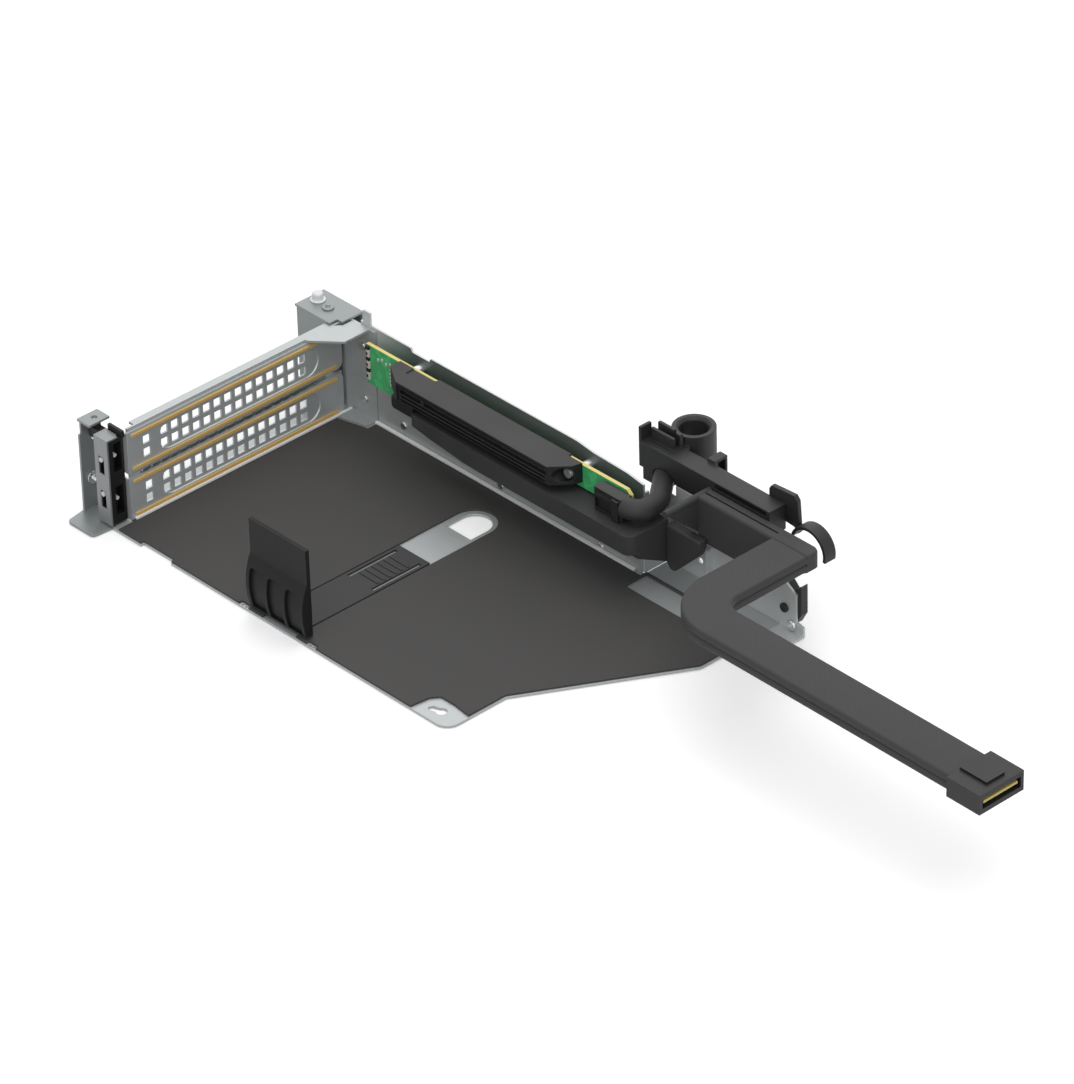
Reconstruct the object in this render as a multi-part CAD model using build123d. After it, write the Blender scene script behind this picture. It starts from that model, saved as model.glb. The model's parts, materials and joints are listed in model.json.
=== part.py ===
from build123d import *
import math
import os

# Riser cage for two expansion cards that lie flat, one above the other.
# Millimetres. X runs along the cage, Y towards the side wall with the riser
# board, Z up. The origin is on the underside of the floor, in line with the
# inner face of the slot fillers and the near end of their gaskets.

# Sheet metal
SHEET = 1.0
BEND_GAP = 0.1
CAGE_HEIGHT = 42.0

# Expansion slots
SLOT_PITCH = 20.32
LOWER_SLOT_Z = 11.25
FILLER_WIDTH = 18.42
FILLER_SHEET = 0.86
FILLER_Y0 = -2.9
FILLER_Y1 = 104.4
FILLER_TAB = 9.6
FIELD_Y0 = 12.4
FIELD_Y1 = 92.6
FIELD_HEIGHT = 12.4
FIELD_DEPTH = 0.5
FILLER_CORNER = 3.0
HOLE_SIZE = 3.5
HOLE_COLUMNS = 14
HOLE_PITCH = 5.3
HOLE_Y0 = 15.5
HOLE_ROW = 5.6
HOLE_SINGLE_Y = 6.5
GASKET_OFFSET = 7.35
GASKET_WIDTH = 1.15
GASKET_THICK = 0.6
GASKET_Y0 = -0.8

# Slot frame around the fillers
FRAME_GAP = 0.04
FRAME_Y0 = -1.9
FRAME_WINDOW_Y0 = 3.0
FRAME_WINDOW_Y1 = 96.0
FRAME_WINDOW_HEIGHT = 14.6
TOP_FLANGE = 2.7
LIP_DEPTH = 11.0
CORNER_REACH = 10.9
CORNER_Y = 87.2
CORNER_SLOPE_Y = 96.8
CORNER_GAP = 1.5
CORNER_RIB = 0.3
RETURN_REACH = 14.0
SPRING_PITCH = 4.7
SPRING_WIDTH = 3.4

# Floor
FLOOR_X0 = -2.8
FLOOR_Y0 = -10.4
FLOOR_X1 = 184.5
FLOOR_TURN_Y = 18.9
FLOOR_TIP_X = 220.8
FLOOR_TIP_Y = 82.3
CORNER_RADIUS = 6.0
FLANGE_HEIGHT = 20.0
BEND_SLOT = 0.8
BEND_SLOTS = ((21.5, 51.8), (76.0, 136.5), (141.5, 158.0))
FRONT_NOTCH_DEPTH = 1.6
FRONT_NOTCH = 17.4
FRONT_NOTCH_X = 13.6
SUPPORT_NOTCH = 5.4
HAND_HOLE_WIDTH = 13.6
HAND_HOLE_Y0 = 79.5
HAND_HOLE_Y1 = 94.5
KEYHOLE_X = 174.4
KEYHOLE_Y = -3.8
KEYHOLE_RADIUS = 2.1
KEYHOLE_SLOT = 1.3

# Insulating sheet on the floor
FILM = 0.9
FILM_MARGIN = 0.15
FILM_SIDE_MARGIN = 0.5
FILM_WALL_MARGIN = 1.9
FILM_CORNER_X = 164.6
FILM_CORNER_Y = 1.7
FILM_CORNER_RADIUS = 2.0
FILM_WINDOW_LENGTH = 41.5
FILM_WINDOW_WIDTH = 10.7

# Side wall
WALL_Y = 110.2
WALL_X0 = 5.0
JOG_X = 161.7
WALL_TOP = 43.2
WALL_JOG = 12.2
WALL_EAR_X = 6.5
WALL_EAR_WIDTH = 4.1
WALL_EAR_TOP = 48.6
WALL2_TOP = 36.2
WALL2_X1 = 233.0
TAB_X = 185.0

# Guide box behind the corner
BOX_X0 = -22.3
BOX_X1 = -2.2
BOX_Y0 = 100.6
BOX_Y1 = 115.6
BOX_TOP = 43.0
BOX_RECESS = 0.8
PIN_X = -18.0
PIN_Y = 108.8
PIN_RADIUS = 2.2
PIN_HEIGHT = 3.6
PIN_DOME = 1.0
GUIDE_SCREW_X = -10.7
GUIDE_SCREW_Y = 107.5
GUIDE_SCREW_RADIUS = 2.4

# Latch post and latch
POST_X = -20.0
POST_Y0 = -10.5
POST_Y1 = -1.0
POST_TOP = 35.0
FOOT_Y = -19.5
FOOT_X0 = -18.5
FOOT_X1 = -3.6
EAR_X1 = -12.7
HINGE_X = -16.2
HINGE_Y = -5.1
HINGE_RADIUS = 1.2
HINGE_PLAY = 0.05
BARREL_RADIUS = 2.4
BARREL_Z0 = 34.5
LATCH_X0 = -10.1
LATCH_X1 = -2.2
LATCH_Y0 = -10.3
LATCH_Y1 = -3.2
LATCH_Z0 = 1.9
LATCH_Z1 = 39.1
COVER = 0.8
SIDE_WINDOW = (4.0, 12.6)
SIDE_WINDOW_DEPTH = 4.2
SIDE_WINDOWS_Z = (11.9, 31.0)
FRONT_WINDOW = (3.1, 7.7)
FRONT_WINDOW_DEPTH = 1.9
FRONT_WINDOWS_Z = (12.3, 27.6)
SHOULDER_TOP = 42.0
PEG_RADIUS = 1.0
POST_RIVET_RADIUS = 2.7

# Riser board
BOARD_Y = 103.4
BOARD = 1.6
BOARD_X0 = 15.6
BOARD_X1 = 162.0
BOARD_TOP = 40.4
BOARD_LEFT_Z = 23.0
BOARD_PLUG_Z = 12.0
BOARD_DROP_X = 60.0
BOARD_RIGHT_Z = 30.4
BOARD_STEP_X = 92.0
STANDOFF_RADIUS = 2.5
STANDOFFS = ((40.0, 36.6), (133.7, 36.6), (50.0, 27.0), (83.0, 26.0))
BOARD_SCREW_RADIUS = 1.4

# Card connector and the guard over it
GUARD_Y = 92.0
GUARD_TOP = 41.4
GUARD_BOTTOM = 33.0
GUARD_X0 = 35.3
GUARD_SKIN = 1.2
GUARD_LEFT_RUN = 9.7
GUARD_RIGHT_RUN = 7.5
HOUSING_LENGTH = 83.0
HOUSING_END = 0.95
HOUSING_GROOVE = 0.9
CARD_SLOT = 1.8
CARD_DEPTH = 8.0
CARD_SHORT = 11.6
CARD_KEY = 1.9
CONTACT_PITCH = 1.0
CONTACT_DEPTH = 0.35
GUARD_SCREW_INSET = 4.2
GUARD_SCREW_Z = 37.4
GUARD_SCREW_RADIUS = 2.0

# Plug and round cable on the right of the board
PLUG_X0 = 148.2
PLUG_X1 = 163.2
PLUG_Y0 = 97.4
PLUG_Z0 = 29.9
PLUG_Z1 = 39.7
CABLE_RADIUS = 4.1
CABLE_BENDS = (5.6, 9.0)
CABLE_PLAY = 0.3
CABLE_Z = 36.0

# Card support that slides on the floor
SUPPORT_X0 = 75.4
SUPPORT_X1 = 107.0
SUPPORT_Y = -8.0
SUPPORT_TOP = 40.6
SUPPORT_WAIST = 26.0
SUPPORT_BULGE = 3.0
SUPPORT_THICK = 1.7
SUPPORT_CLEAR = 0.3
TONGUE_X0 = 83.7
TONGUE_WIDTH = 17.2
TONGUE_END = 57.2
TONGUE_THICK = 0.8
TONGUE_PLAY = 0.7
TONGUE_SLIT = 1.6
SUPPORT_TRAVEL = 20.0
SCOOPS = 3
SCOOP_WIDTH = 8.2
SCOOP_TOP = 20.8
SCOOP_DEPTH = 1.2

# Flat signal cable
RIBBON_WIDTH = 18.8
RIBBON_THICK = 6.8
RIBBON_LAYER = 3.5
RIBBON_EDGE = 1.2
SLEEVE_X0 = 46.0
SLEEVE_TURN = 11.2
SLEEVE_DROP = 10.7
ROLL_RADIUS = 2.2
SLEEVE_Y0 = 92.2
SLEEVE_Z0 = 21.3
SLEEVE_Z1 = 29.6
SLEEVE_CORNER = 4.0
FOLD_WIDTH = 13.1
STANDING_THICK = 7.6
LOOM_TOP = 44.3
LOOM_X0 = 224.3
LOOM_BEND_INNER = 7.0
LOOM_Y = 63.7
LOOM_ROUTE = ((251.2, 63.7, 40.9), (314.0, 63.7, 40.9), (374.0, 63.7, 40.2))
LOOM_PLUG_LENGTH = 16.0
LOOM_PLUG_WIDTH = 22.0
LOOM_PLUG_HEIGHT = 8.4

# Cable holder
HOLDER_X0 = 146.5
HOLDER_X1 = 215.7
HOLDER_DEPTH = 8.6
HOLDER_TOP = 47.4
HOLDER_WALL = 1.8
RING_X = 158.0
RING_Y = 140.0
RING_RADIUS = 8.45
RING_BORE = 5.5
RING_TOP = 51.0
RING_BOTTOM = 38.0
RECESS_DEPTH = 2.5
REAR_CLIP_X = 28.3
REAR_CLIP_LENGTH = 4.0
REAR_CLIP_DEPTH = 6.2
HOOK_RADIUS = 9.2
HOOK_REACH = 3.6
HOOK_PLATE = 2.0
HOOK_THICK = 1.4
HOOK_CENTRE_X = 230.4
HOOK_CENTRE_Z = 35.6
HOOK_START = 160
HOOK_END = -14

# Small fasteners
RIVET_RADIUS = 1.7
RIVET_HEAD = 0.7
WALL_RIVETS = ((29.3, 6.7), (84.0, 4.4), (139.0, 2.8))
RETURN_RIVET_X = 7.0
RETURN_RIVET_Z = 9.0
BUTTON_X = 223.6
BUTTON_Z = 9.6
BUTTON_RADIUS = 1.9
PANEL_SCREW_X = 227.4
PANEL_SCREW_Z = 3.5

# Places that follow from the sizes above
FRAME_X1 = -FILLER_SHEET - FRAME_GAP
FRAME_X0 = FRAME_X1 - SHEET
INNER_Y = WALL_Y - BEND_GAP - SHEET
WALL2_Y = WALL_Y + WALL_JOG
SLOT_Z = (LOWER_SLOT_Z, LOWER_SLOT_Z + SLOT_PITCH)
BOARD_BACK = BOARD_Y + BOARD
GUARD_MID_Z = (GUARD_TOP + GUARD_BOTTOM) / 2
HOUSING_X0 = GUARD_X0 + GUARD_LEFT_RUN + 0.8
HOUSING_X1 = HOUSING_X0 + HOUSING_LENGTH
CARD_LONG = HOUSING_LENGTH - CARD_SHORT - CARD_KEY - 2 * HOUSING_END
GUARD_X1 = HOUSING_X1 + GUARD_RIGHT_RUN
GUARD_SCREW_X = HOUSING_X1 + GUARD_SCREW_INSET
SLEEVE_X1 = JOG_X + SLEEVE_TURN
STANDING_X0 = SLEEVE_X1 + FOLD_WIDTH
TONGUE_X1 = TONGUE_X0 + TONGUE_WIDTH
TONGUE_MID = TONGUE_X0 + TONGUE_WIDTH / 2
HOLDER_Z0 = WALL2_TOP + BEND_GAP
HOLDER_Y1 = WALL2_Y + HOLDER_DEPTH
STANDING_Y0 = WALL2_Y - BEND_GAP - STANDING_THICK
LOOM_BOTTOM = LOOM_TOP - RIBBON_THICK
EAR_Z0 = CAGE_HEIGHT - SHEET
CABLE_ROUTE = (
    (PLUG_X1, PLUG_Y0 + 2.4, CABLE_Z),
    (JOG_X + 7.9, PLUG_Y0 + 2.4, CABLE_Z),
    (JOG_X + 7.1, WALL_Y + 1.2, CABLE_Z - 0.3),
    (JOG_X - 5.8, WALL2_Y + 4.6, CABLE_Z - 0.1),
)


def block(x0, x1, y0, y1, z0, z1):
    """A box between two corners."""
    return Pos((x0 + x1) / 2, (y0 + y1) / 2, (z0 + z1) / 2) * Box(x1 - x0, y1 - y0, z1 - z0)


def outline(points):
    """A flat face inside straight edges."""
    return make_face(Polyline(*points, close=True))


def flat(face, z0, z1):
    """A level sheet from a face drawn in X and Y."""
    return extrude(Pos(0, 0, z0) * face, z1 - z0)


def across(face, x0, x1):
    """A sheet that faces along X, from a face drawn in Y and Z."""
    return extrude(Plane.YZ.offset(x0) * face, x1 - x0)


def upright(face, y0, y1):
    """A sheet that faces along Y, from a face drawn in X and Z."""
    return extrude(Plane.XZ.offset(-y1) * face, y1 - y0)


def pin_z(x, y, radius, z0, z1):
    """A round bar along Z."""
    return Pos(x, y, (z0 + z1) / 2) * Cylinder(radius, z1 - z0)


def pin_y(x, z, radius, y0, y1):
    """A round bar along Y."""
    return Pos(x, (y0 + y1) / 2, z) * Rot(90, 0, 0) * Cylinder(radius, y1 - y0)


def pin_x(y, z, radius, x0, x1):
    """A round bar along X."""
    return Pos((x0 + x1) / 2, y, z) * Rot(0, 90, 0) * Cylinder(radius, x1 - x0)


def save(shape, name):
    """Writes one piece under its own name."""
    export_step(shape, f"parts/{name}.step")


def slot_frame():
    """Folded frame that carries the fillers, with its lips and corner plate."""
    plate = block(FRAME_X0, FRAME_X1, FRAME_Y0, WALL_Y - BEND_GAP, 0, CAGE_HEIGHT)
    x0, x1 = FRAME_X0 - SHEET, FRAME_X1 + SHEET
    for z in SLOT_Z:
        half = FRAME_WINDOW_HEIGHT / 2
        plate -= block(x0, x1, FRAME_WINDOW_Y0, FRAME_WINDOW_Y1, z - half, z + half)
    end = FILLER_Y1 + CORNER_GAP
    gap = (SLOT_PITCH - FILLER_WIDTH) / 2
    middle = LOWER_SLOT_Z + SLOT_PITCH / 2
    plate -= block(x0, x1, FILLER_Y1 + 0.2, end, 4 * SHEET, EAR_Z0 - SHEET)
    plate -= block(x0, x1, FRAME_WINDOW_Y1 + 0.4, end, middle - gap, middle + gap)
    rib = block(FRAME_X1, CORNER_RIB, end, INNER_Y, 2 * SHEET, EAR_Z0)
    lip = block(FRAME_X0 - LIP_DEPTH, FRAME_X1, FRAME_Y0, WALL_Y - BEND_GAP, 0, SHEET)
    flange = block(FRAME_X0 - TOP_FLANGE, FRAME_X1, FRAME_Y0 + 4, CORNER_Y, EAR_Z0, CAGE_HEIGHT)
    corner = flat(outline([
        (FRAME_X0 - TOP_FLANGE, CORNER_Y),
        (0, CORNER_Y),
        (CORNER_REACH, CORNER_SLOPE_Y),
        (CORNER_REACH, INNER_Y + SHEET),
        (1.4, INNER_Y + SHEET),
        (1.4, BOX_Y0 + 3.6),
        (BOX_X1 + 0.3, BOX_Y0 - 0.3),
        (FRAME_X0 - TOP_FLANGE, BOX_Y0 - 0.3),
    ]), EAR_Z0, CAGE_HEIGHT)
    side = block(FRAME_X0, RETURN_REACH, INNER_Y, INNER_Y + SHEET, SHEET, CAGE_HEIGHT)
    gusset = flat(outline([
        (FRAME_X1, INNER_Y - 9),
        (RETURN_REACH - 1, INNER_Y - 5.5),
        (RETURN_REACH, INNER_Y + SHEET),
        (FRAME_X1, INNER_Y + SHEET),
    ]), SHEET, 2 * SHEET)
    bead = block(FRAME_X1, 1.5, INNER_Y - 8.5, INNER_Y - 0.6, 2 * SHEET, 2 * SHEET + 0.6)
    return plate + rib + lip + flange + corner + side + gusset + bead


def filler_holes(z):
    """Square air holes: two rows of columns and one lone pair."""
    places = [HOLE_SINGLE_Y] + [HOLE_Y0 + HOLE_PITCH * i for i in range(HOLE_COLUMNS)]
    deep = FIELD_DEPTH + 4 * FILLER_SHEET
    holes = []
    for y in places:
        for side in (-1, 1):
            holes.append(Pos(0, y, z + side * HOLE_ROW / 2) * Box(deep, HOLE_SIZE, HOLE_SIZE))
    return holes


def filler(z):
    """Blank bracket with a pressed, perforated field and a bent tab."""
    half = FILLER_WIDTH / 2
    plate = Pos((FILLER_Y0 + FILLER_Y1) / 2, z) * Rectangle(FILLER_Y1 - FILLER_Y0, FILLER_WIDTH)
    face = across(fillet(plate.vertices().sort_by(Axis.X)[2:], FILLER_CORNER), -FILLER_SHEET, 0)
    middle = (FIELD_Y0 + FIELD_Y1) / 2
    field = Pos(middle, z) * SlotOverall(FIELD_Y1 - FIELD_Y0, FIELD_HEIGHT)
    outer = extrude(Plane.YZ * field, -FIELD_DEPTH - FILLER_SHEET, taper=30)
    inner = extrude(Plane.YZ * field, -FIELD_DEPTH, taper=30)
    tab = block(-FILLER_TAB, 0, FILLER_Y0, FILLER_Y0 + FILLER_SHEET, z - half, z + half - 0.6)
    tab -= pin_y(-FILLER_TAB, z - 2, 2.2, FILLER_Y0 - 1, FILLER_Y0 + 2)
    return (face + outer - inner + tab) - filler_holes(z)


def gaskets(z):
    """Two conductive strips along one filler."""
    strips = []
    for side in (-1, 1):
        end = FILLER_Y1 - 3.2
        middle = z + side * GASKET_OFFSET
        half = GASKET_WIDTH / 2
        strips.append(block(0, GASKET_THICK, GASKET_Y0, end, middle - half, middle + half))
    return Compound(children=strips)


def grounding_springs():
    """Comb of spring fingers in the gap between the fillers."""
    gap = (SLOT_PITCH - FILLER_WIDTH) / 2
    z = LOWER_SLOT_Z + SLOT_PITCH / 2
    strip = block(FRAME_X1, FRAME_X1 + 0.5, FRAME_WINDOW_Y0, FRAME_WINDOW_Y1, z - gap + 0.2, z + gap - 0.2)
    count = int((FRAME_WINDOW_Y1 - FRAME_WINDOW_Y0) / SPRING_PITCH)
    half = SPRING_WIDTH / 2
    low, high = z - gap + 0.45, z + gap - 0.45
    places = [FRAME_WINDOW_Y0 + SPRING_PITCH * (i + 0.5) for i in range(count)]
    return strip + [block(FRAME_X1, 0.2, y - half, y + half, low, high) for y in places]


def floor_face():
    """Outline of the floor, with its front corner rounded."""
    face = outline([
        (FLOOR_X0, FLOOR_Y0),
        (FLOOR_X1, FLOOR_Y0),
        (FLOOR_X1, FLOOR_TURN_Y),
        (FLOOR_TIP_X, FLOOR_TIP_Y),
        (FLOOR_TIP_X, WALL2_Y - BEND_GAP),
        (JOG_X + BEND_GAP, WALL2_Y - BEND_GAP),
        (JOG_X + BEND_GAP, INNER_Y + SHEET),
        (FRAME_X1 + BEND_GAP, INNER_Y + SHEET),
        (FRAME_X1 + BEND_GAP, FRAME_Y0 - BEND_GAP),
        (FLOOR_X0, FRAME_Y0 - BEND_GAP),
    ])
    corner = face.vertices().sort_by_distance((FLOOR_X1, FLOOR_Y0, 0))[0]
    face = fillet(corner, CORNER_RADIUS)
    tip = face.vertices().sort_by_distance((FLOOR_TIP_X, FLOOR_TIP_Y, 0))[0]
    return fillet(tip, 5)


def hand_hole():
    """Opening with one square and one round end."""
    radius = HAND_HOLE_WIDTH / 2
    length = HAND_HOLE_Y1 - radius - HAND_HOLE_Y0
    square = Pos(TONGUE_MID, HAND_HOLE_Y0 + length / 2) * Rectangle(HAND_HOLE_WIDTH, length)
    return square + Pos(TONGUE_MID, HAND_HOLE_Y1 - radius) * Circle(radius)


def keyhole():
    """Round hole with a narrow slot towards the back."""
    slot = Pos(KEYHOLE_X - 2.4, KEYHOLE_Y - 0.6) * Rot(0, 0, 20) * SlotOverall(6, 2 * KEYHOLE_SLOT)
    return Pos(KEYHOLE_X, KEYHOLE_Y) * Circle(KEYHOLE_RADIUS) + slot


def front_notches():
    """Start and end of the film's notches along the front edge."""
    return [
        (FRONT_NOTCH_X, FRONT_NOTCH_X + FRONT_NOTCH),
        (SUPPORT_X0 - SUPPORT_NOTCH, SUPPORT_X0 - 0.6),
        (SUPPORT_X1 + 0.6, SUPPORT_X1 + SUPPORT_NOTCH),
    ]


def notch_cutter(notches, margin):
    """Flat cutter for notches in the front edge, with a margin all round."""
    depth = 2 * (FRONT_NOTCH_DEPTH + margin)
    return [Pos((x0 + x1) / 2, FLOOR_Y0) * Rectangle(x1 - x0 + 2 * margin, depth) for x0, x1 in notches]


def support_slots():
    """Pairs of small slots in the bare metal beside the card support."""
    slots = []
    for x0, x1 in front_notches()[1:]:
        for share in (0.3, 0.7):
            slots.append(Pos(x0 + share * (x1 - x0), FLOOR_Y0 + 0.9) * Rectangle(0.8, 0.9))
    return slots


def floor_tray():
    """Floor with its cut-outs and the flange that is riveted to the wall."""
    face = floor_face() - hand_hole() - keyhole() - notch_cutter(front_notches()[:1], 0) - support_slots()
    for x0, x1 in BEND_SLOTS:
        face -= Pos((x0 + x1) / 2, INNER_Y - BEND_SLOT / 2) * Rectangle(x1 - x0, BEND_SLOT)
    start = RETURN_REACH + 0.3
    return flat(face, 0, SHEET) + block(start, JOG_X - SHEET, INNER_Y, INNER_Y + SHEET, 0, FLANGE_HEIGHT)


def slider_way():
    """Cut-out for the card support's strip, with a round end past the hand hole."""
    width = TONGUE_WIDTH + 2 * TONGUE_PLAY
    end = HAND_HOLE_Y1 + 2 - width / 2
    straight = Pos(TONGUE_MID, (FLOOR_Y0 + end) / 2) * Rectangle(width, end - FLOOR_Y0)
    return straight + Pos(TONGUE_MID, end) * Circle(width / 2)


def insulator_sheet():
    """Thin film on the floor, cut round the slider, the corner and the wall."""
    edge = FLOOR_Y0 + FILM_MARGIN
    x1 = FLOOR_X1 - FILM_SIDE_MARGIN
    tip = FLOOR_TIP_X - FILM_SIDE_MARGIN
    back = INNER_Y - FILM_WALL_MARGIN
    window_x = JOG_X + 1.8
    window_y = INNER_Y - FILM_WINDOW_WIDTH
    face = outline([
        (0.6, edge),
        (FILM_CORNER_X, edge),
        (FILM_CORNER_X + 1.1, FILM_CORNER_Y - 3.3),
        (FILM_CORNER_X + 3.5, FILM_CORNER_Y),
        (FILM_CORNER_X + 10.6, FILM_CORNER_Y),
        (x1, FILM_CORNER_Y - 1),
        (x1, FLOOR_TURN_Y),
        (tip, FLOOR_TIP_Y),
        (tip, INNER_Y + 1.3),
        (window_x - 1, INNER_Y + 1.3),
        (window_x - 1, back),
        (RETURN_REACH + 1, back),
        (RETURN_REACH + 1, INNER_Y - 6.2),
        (0.6, INNER_Y - 9.8),
    ])
    corner = (FILM_CORNER_X + 1.1, FILM_CORNER_Y - 3.3, 0)
    face = fillet(face.vertices().sort_by_distance(corner)[:2], FILM_CORNER_RADIUS)
    half = FILM_WINDOW_LENGTH / 2
    window = Pos(window_x + half, window_y + FILM_WINDOW_WIDTH / 2) * Rectangle(2 * half, FILM_WINDOW_WIDTH)
    face = face - notch_cutter(front_notches(), FILM_MARGIN) - window - slider_way()
    return flat(face, SHEET, SHEET + FILM)


def front_wall():
    """Long stretch of the side wall with its stepped top edge and ear."""
    face = outline([
        (WALL_X0, SHEET),
        (JOG_X, SHEET),
        (JOG_X, WALL_TOP - 3.2),
        (JOG_X - 8.7, WALL_TOP - 1.8),
        (JOG_X - 26.7, WALL_TOP - 1.2),
        (JOG_X - 35.7, WALL_TOP),
        (44.8, WALL_TOP),
        (44.0, WALL_TOP - 1.6),
        (34.3, WALL_TOP - 1.6),
        (33.5, WALL_TOP),
        (WALL_EAR_X + WALL_EAR_WIDTH, WALL_TOP),
        (WALL_EAR_X + WALL_EAR_WIDTH, WALL_EAR_TOP),
        (WALL_EAR_X, WALL_EAR_TOP),
        (WALL_EAR_X, WALL_TOP),
        (WALL_X0, WALL_TOP),
    ])
    return upright(face, WALL_Y, WALL_Y + SHEET)


def back_wall():
    """Set-back stretch that carries the cable holder."""
    face = outline([
        (JOG_X - SHEET, 0),
        (WALL2_X1, 0),
        (WALL2_X1, 4.7),
        (WALL2_X1 - 3.6, 5.2),
        (WALL2_X1 - 3.6, 17.2),
        (WALL2_X1 - 8.3, 20.3),
        (HOLDER_X1 - 1.7, WALL2_TOP),
        (JOG_X - SHEET, WALL2_TOP),
    ])
    return upright(face, WALL2_Y, WALL2_Y + SHEET)


def side_wall():
    """Riser wall: two stretches, the jog between them, a foot and a bent tab."""
    jog = block(JOG_X - SHEET, JOG_X, WALL_Y, WALL2_Y + SHEET, SHEET, WALL2_TOP)
    tab = block(TAB_X - SHEET / 2, TAB_X + SHEET / 2, WALL2_Y - 3.2, WALL2_Y, 7, 17)
    foot = block(FLOOR_TIP_X + BEND_GAP, WALL2_X1, WALL2_Y - 6, WALL2_Y, 0, SHEET)
    wall = front_wall() + jog + back_wall() + tab + foot
    low = CABLE_Z - CABLE_RADIUS - 0.9
    wall -= block(JOG_X - 2, JOG_X + 4.5, WALL_Y + 3, WALL2_Y + 2, low, WALL2_TOP + 1)
    for x, z in STANDOFFS:
        wall -= pin_y(x, z, BOARD_SCREW_RADIUS + 0.1, WALL_Y - 1, WALL_Y + 2 * SHEET)
    return wall - pin_y(TAB_X - 6, 8.9, 1.2, WALL2_Y - 1, WALL2_Y + 2 * SHEET)


def guide_box():
    """Folded box behind the corner that guides the cage into place."""
    top = flat(outline([
        (BOX_X0, BOX_Y0),
        (BOX_X1, BOX_Y0),
        (BOX_X1, BOX_Y0 + 4),
        (0.7, BOX_Y0 + 4),
        (0.7, BOX_Y1),
        (BOX_X0, BOX_Y1),
    ]), BOX_TOP - SHEET, BOX_TOP)
    top -= pin_z(GUIDE_SCREW_X, GUIDE_SCREW_Y, GUIDE_SCREW_RADIUS - 0.8, 0, 2 * BOX_TOP)
    bottom = SHEET + BEND_GAP
    y0 = BOX_Y0 + BOX_RECESS
    near = block(BOX_X0, BOX_X1, y0, y0 + SHEET, bottom, BOX_TOP)
    end = block(BOX_X0, BOX_X0 + SHEET, y0, BOX_Y1, bottom, BOX_TOP)
    far = block(BOX_X0, 0.7, BOX_Y1 - SHEET, BOX_Y1, bottom, BOX_TOP)
    return top + near + end + far


def locating_pin():
    """Domed pin that stands on the guide box."""
    pin = pin_z(PIN_X, PIN_Y, PIN_RADIUS, BOX_TOP, BOX_TOP + PIN_HEIGHT)
    rim = pin.edges().filter_by(GeomType.CIRCLE).sort_by(Axis.Z)[-1]
    return fillet(rim, PIN_DOME) + pin_z(PIN_X, PIN_Y, PIN_RADIUS + 0.9, BOX_TOP, BOX_TOP + 0.5)


def guide_screw():
    """Flat screw head with a cross recess and its shank."""
    top = BOX_TOP + 0.7
    head = pin_z(GUIDE_SCREW_X, GUIDE_SCREW_Y, GUIDE_SCREW_RADIUS, BOX_TOP, top)
    shank = pin_z(GUIDE_SCREW_X, GUIDE_SCREW_Y, GUIDE_SCREW_RADIUS - 0.85, BOX_TOP - 4, BOX_TOP)
    recess = Pos(GUIDE_SCREW_X, GUIDE_SCREW_Y, top) * (Box(2.6, 0.6, 0.8) + Box(0.6, 2.6, 0.8))
    return head + shank - recess


def latch_post():
    """Post outside the slots with the foot below and the hinge ear on top."""
    post = block(POST_X, POST_X + SHEET, POST_Y0, POST_Y1, 0, POST_TOP)
    neck = block(POST_X, POST_X + SHEET, POST_Y0 + 1, POST_Y1 - 0.5, 0, CAGE_HEIGHT)
    ear = block(POST_X, EAR_X1, POST_Y0, POST_Y1 + 0.5, EAR_Z0, CAGE_HEIGHT)
    ear -= pin_z(HINGE_X, HINGE_Y, HINGE_RADIUS, 0, 2 * CAGE_HEIGHT)
    foot = flat(outline([
        (POST_X, FRAME_Y0 - BEND_GAP),
        (POST_X, POST_Y0),
        (FOOT_X0, FOOT_Y),
        (FOOT_X1, FOOT_Y),
        (FLOOR_X0 - BEND_GAP, POST_Y0),
        (FLOOR_X0 - BEND_GAP, FRAME_Y0 - BEND_GAP),
    ]), 0, SHEET)
    tips = foot.edges().filter_by(Axis.Z).sort_by(Axis.Y)[:2]
    return post + neck + ear + fillet(tips, 2.0)


def side_window(z):
    """Cutter for a window that opens to the cards."""
    width, height = SIDE_WINDOW
    y0 = LATCH_Y0 + 2.1
    return block(LATCH_X1 - SIDE_WINDOW_DEPTH, LATCH_X1 + 1, y0, y0 + width, z - height / 2, z + height / 2)


def front_window(z):
    """Cutter for a window that opens to the front, through the cover as well."""
    width, height = FRONT_WINDOW
    x0 = (LATCH_X0 + LATCH_X1 - width) / 2
    return block(x0, x0 + width, LATCH_Y0 - 2, LATCH_Y0 + FRONT_WINDOW_DEPTH, z - height / 2, z + height / 2)


def latch_body():
    """Plastic latch with its windows, shoulder, arm and hinge barrel."""
    body = block(LATCH_X0, LATCH_X1, LATCH_Y0, LATCH_Y1, LATCH_Z0, LATCH_Z1)
    body -= [side_window(z) for z in SIDE_WINDOWS_Z] + [front_window(z) for z in FRONT_WINDOWS_Z]
    shoulder = block(LATCH_X0 + 0.9, LATCH_X1 + 1.2, LATCH_Y1 - 1.4, LATCH_Y1, LATCH_Z1, SHOULDER_TOP)
    top = EAR_Z0 - 0.3
    arm = block(HINGE_X, LATCH_X0 + 0.5, HINGE_Y - BARREL_RADIUS, HINGE_Y + 1.2, BARREL_Z0, LATCH_Z1)
    barrel = pin_z(HINGE_X, HINGE_Y, BARREL_RADIUS, BARREL_Z0, top)
    bore = pin_z(HINGE_X, HINGE_Y, HINGE_RADIUS + HINGE_PLAY, BARREL_Z0 - 1, top + 1)
    return body + shoulder + arm + barrel - bore


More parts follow.
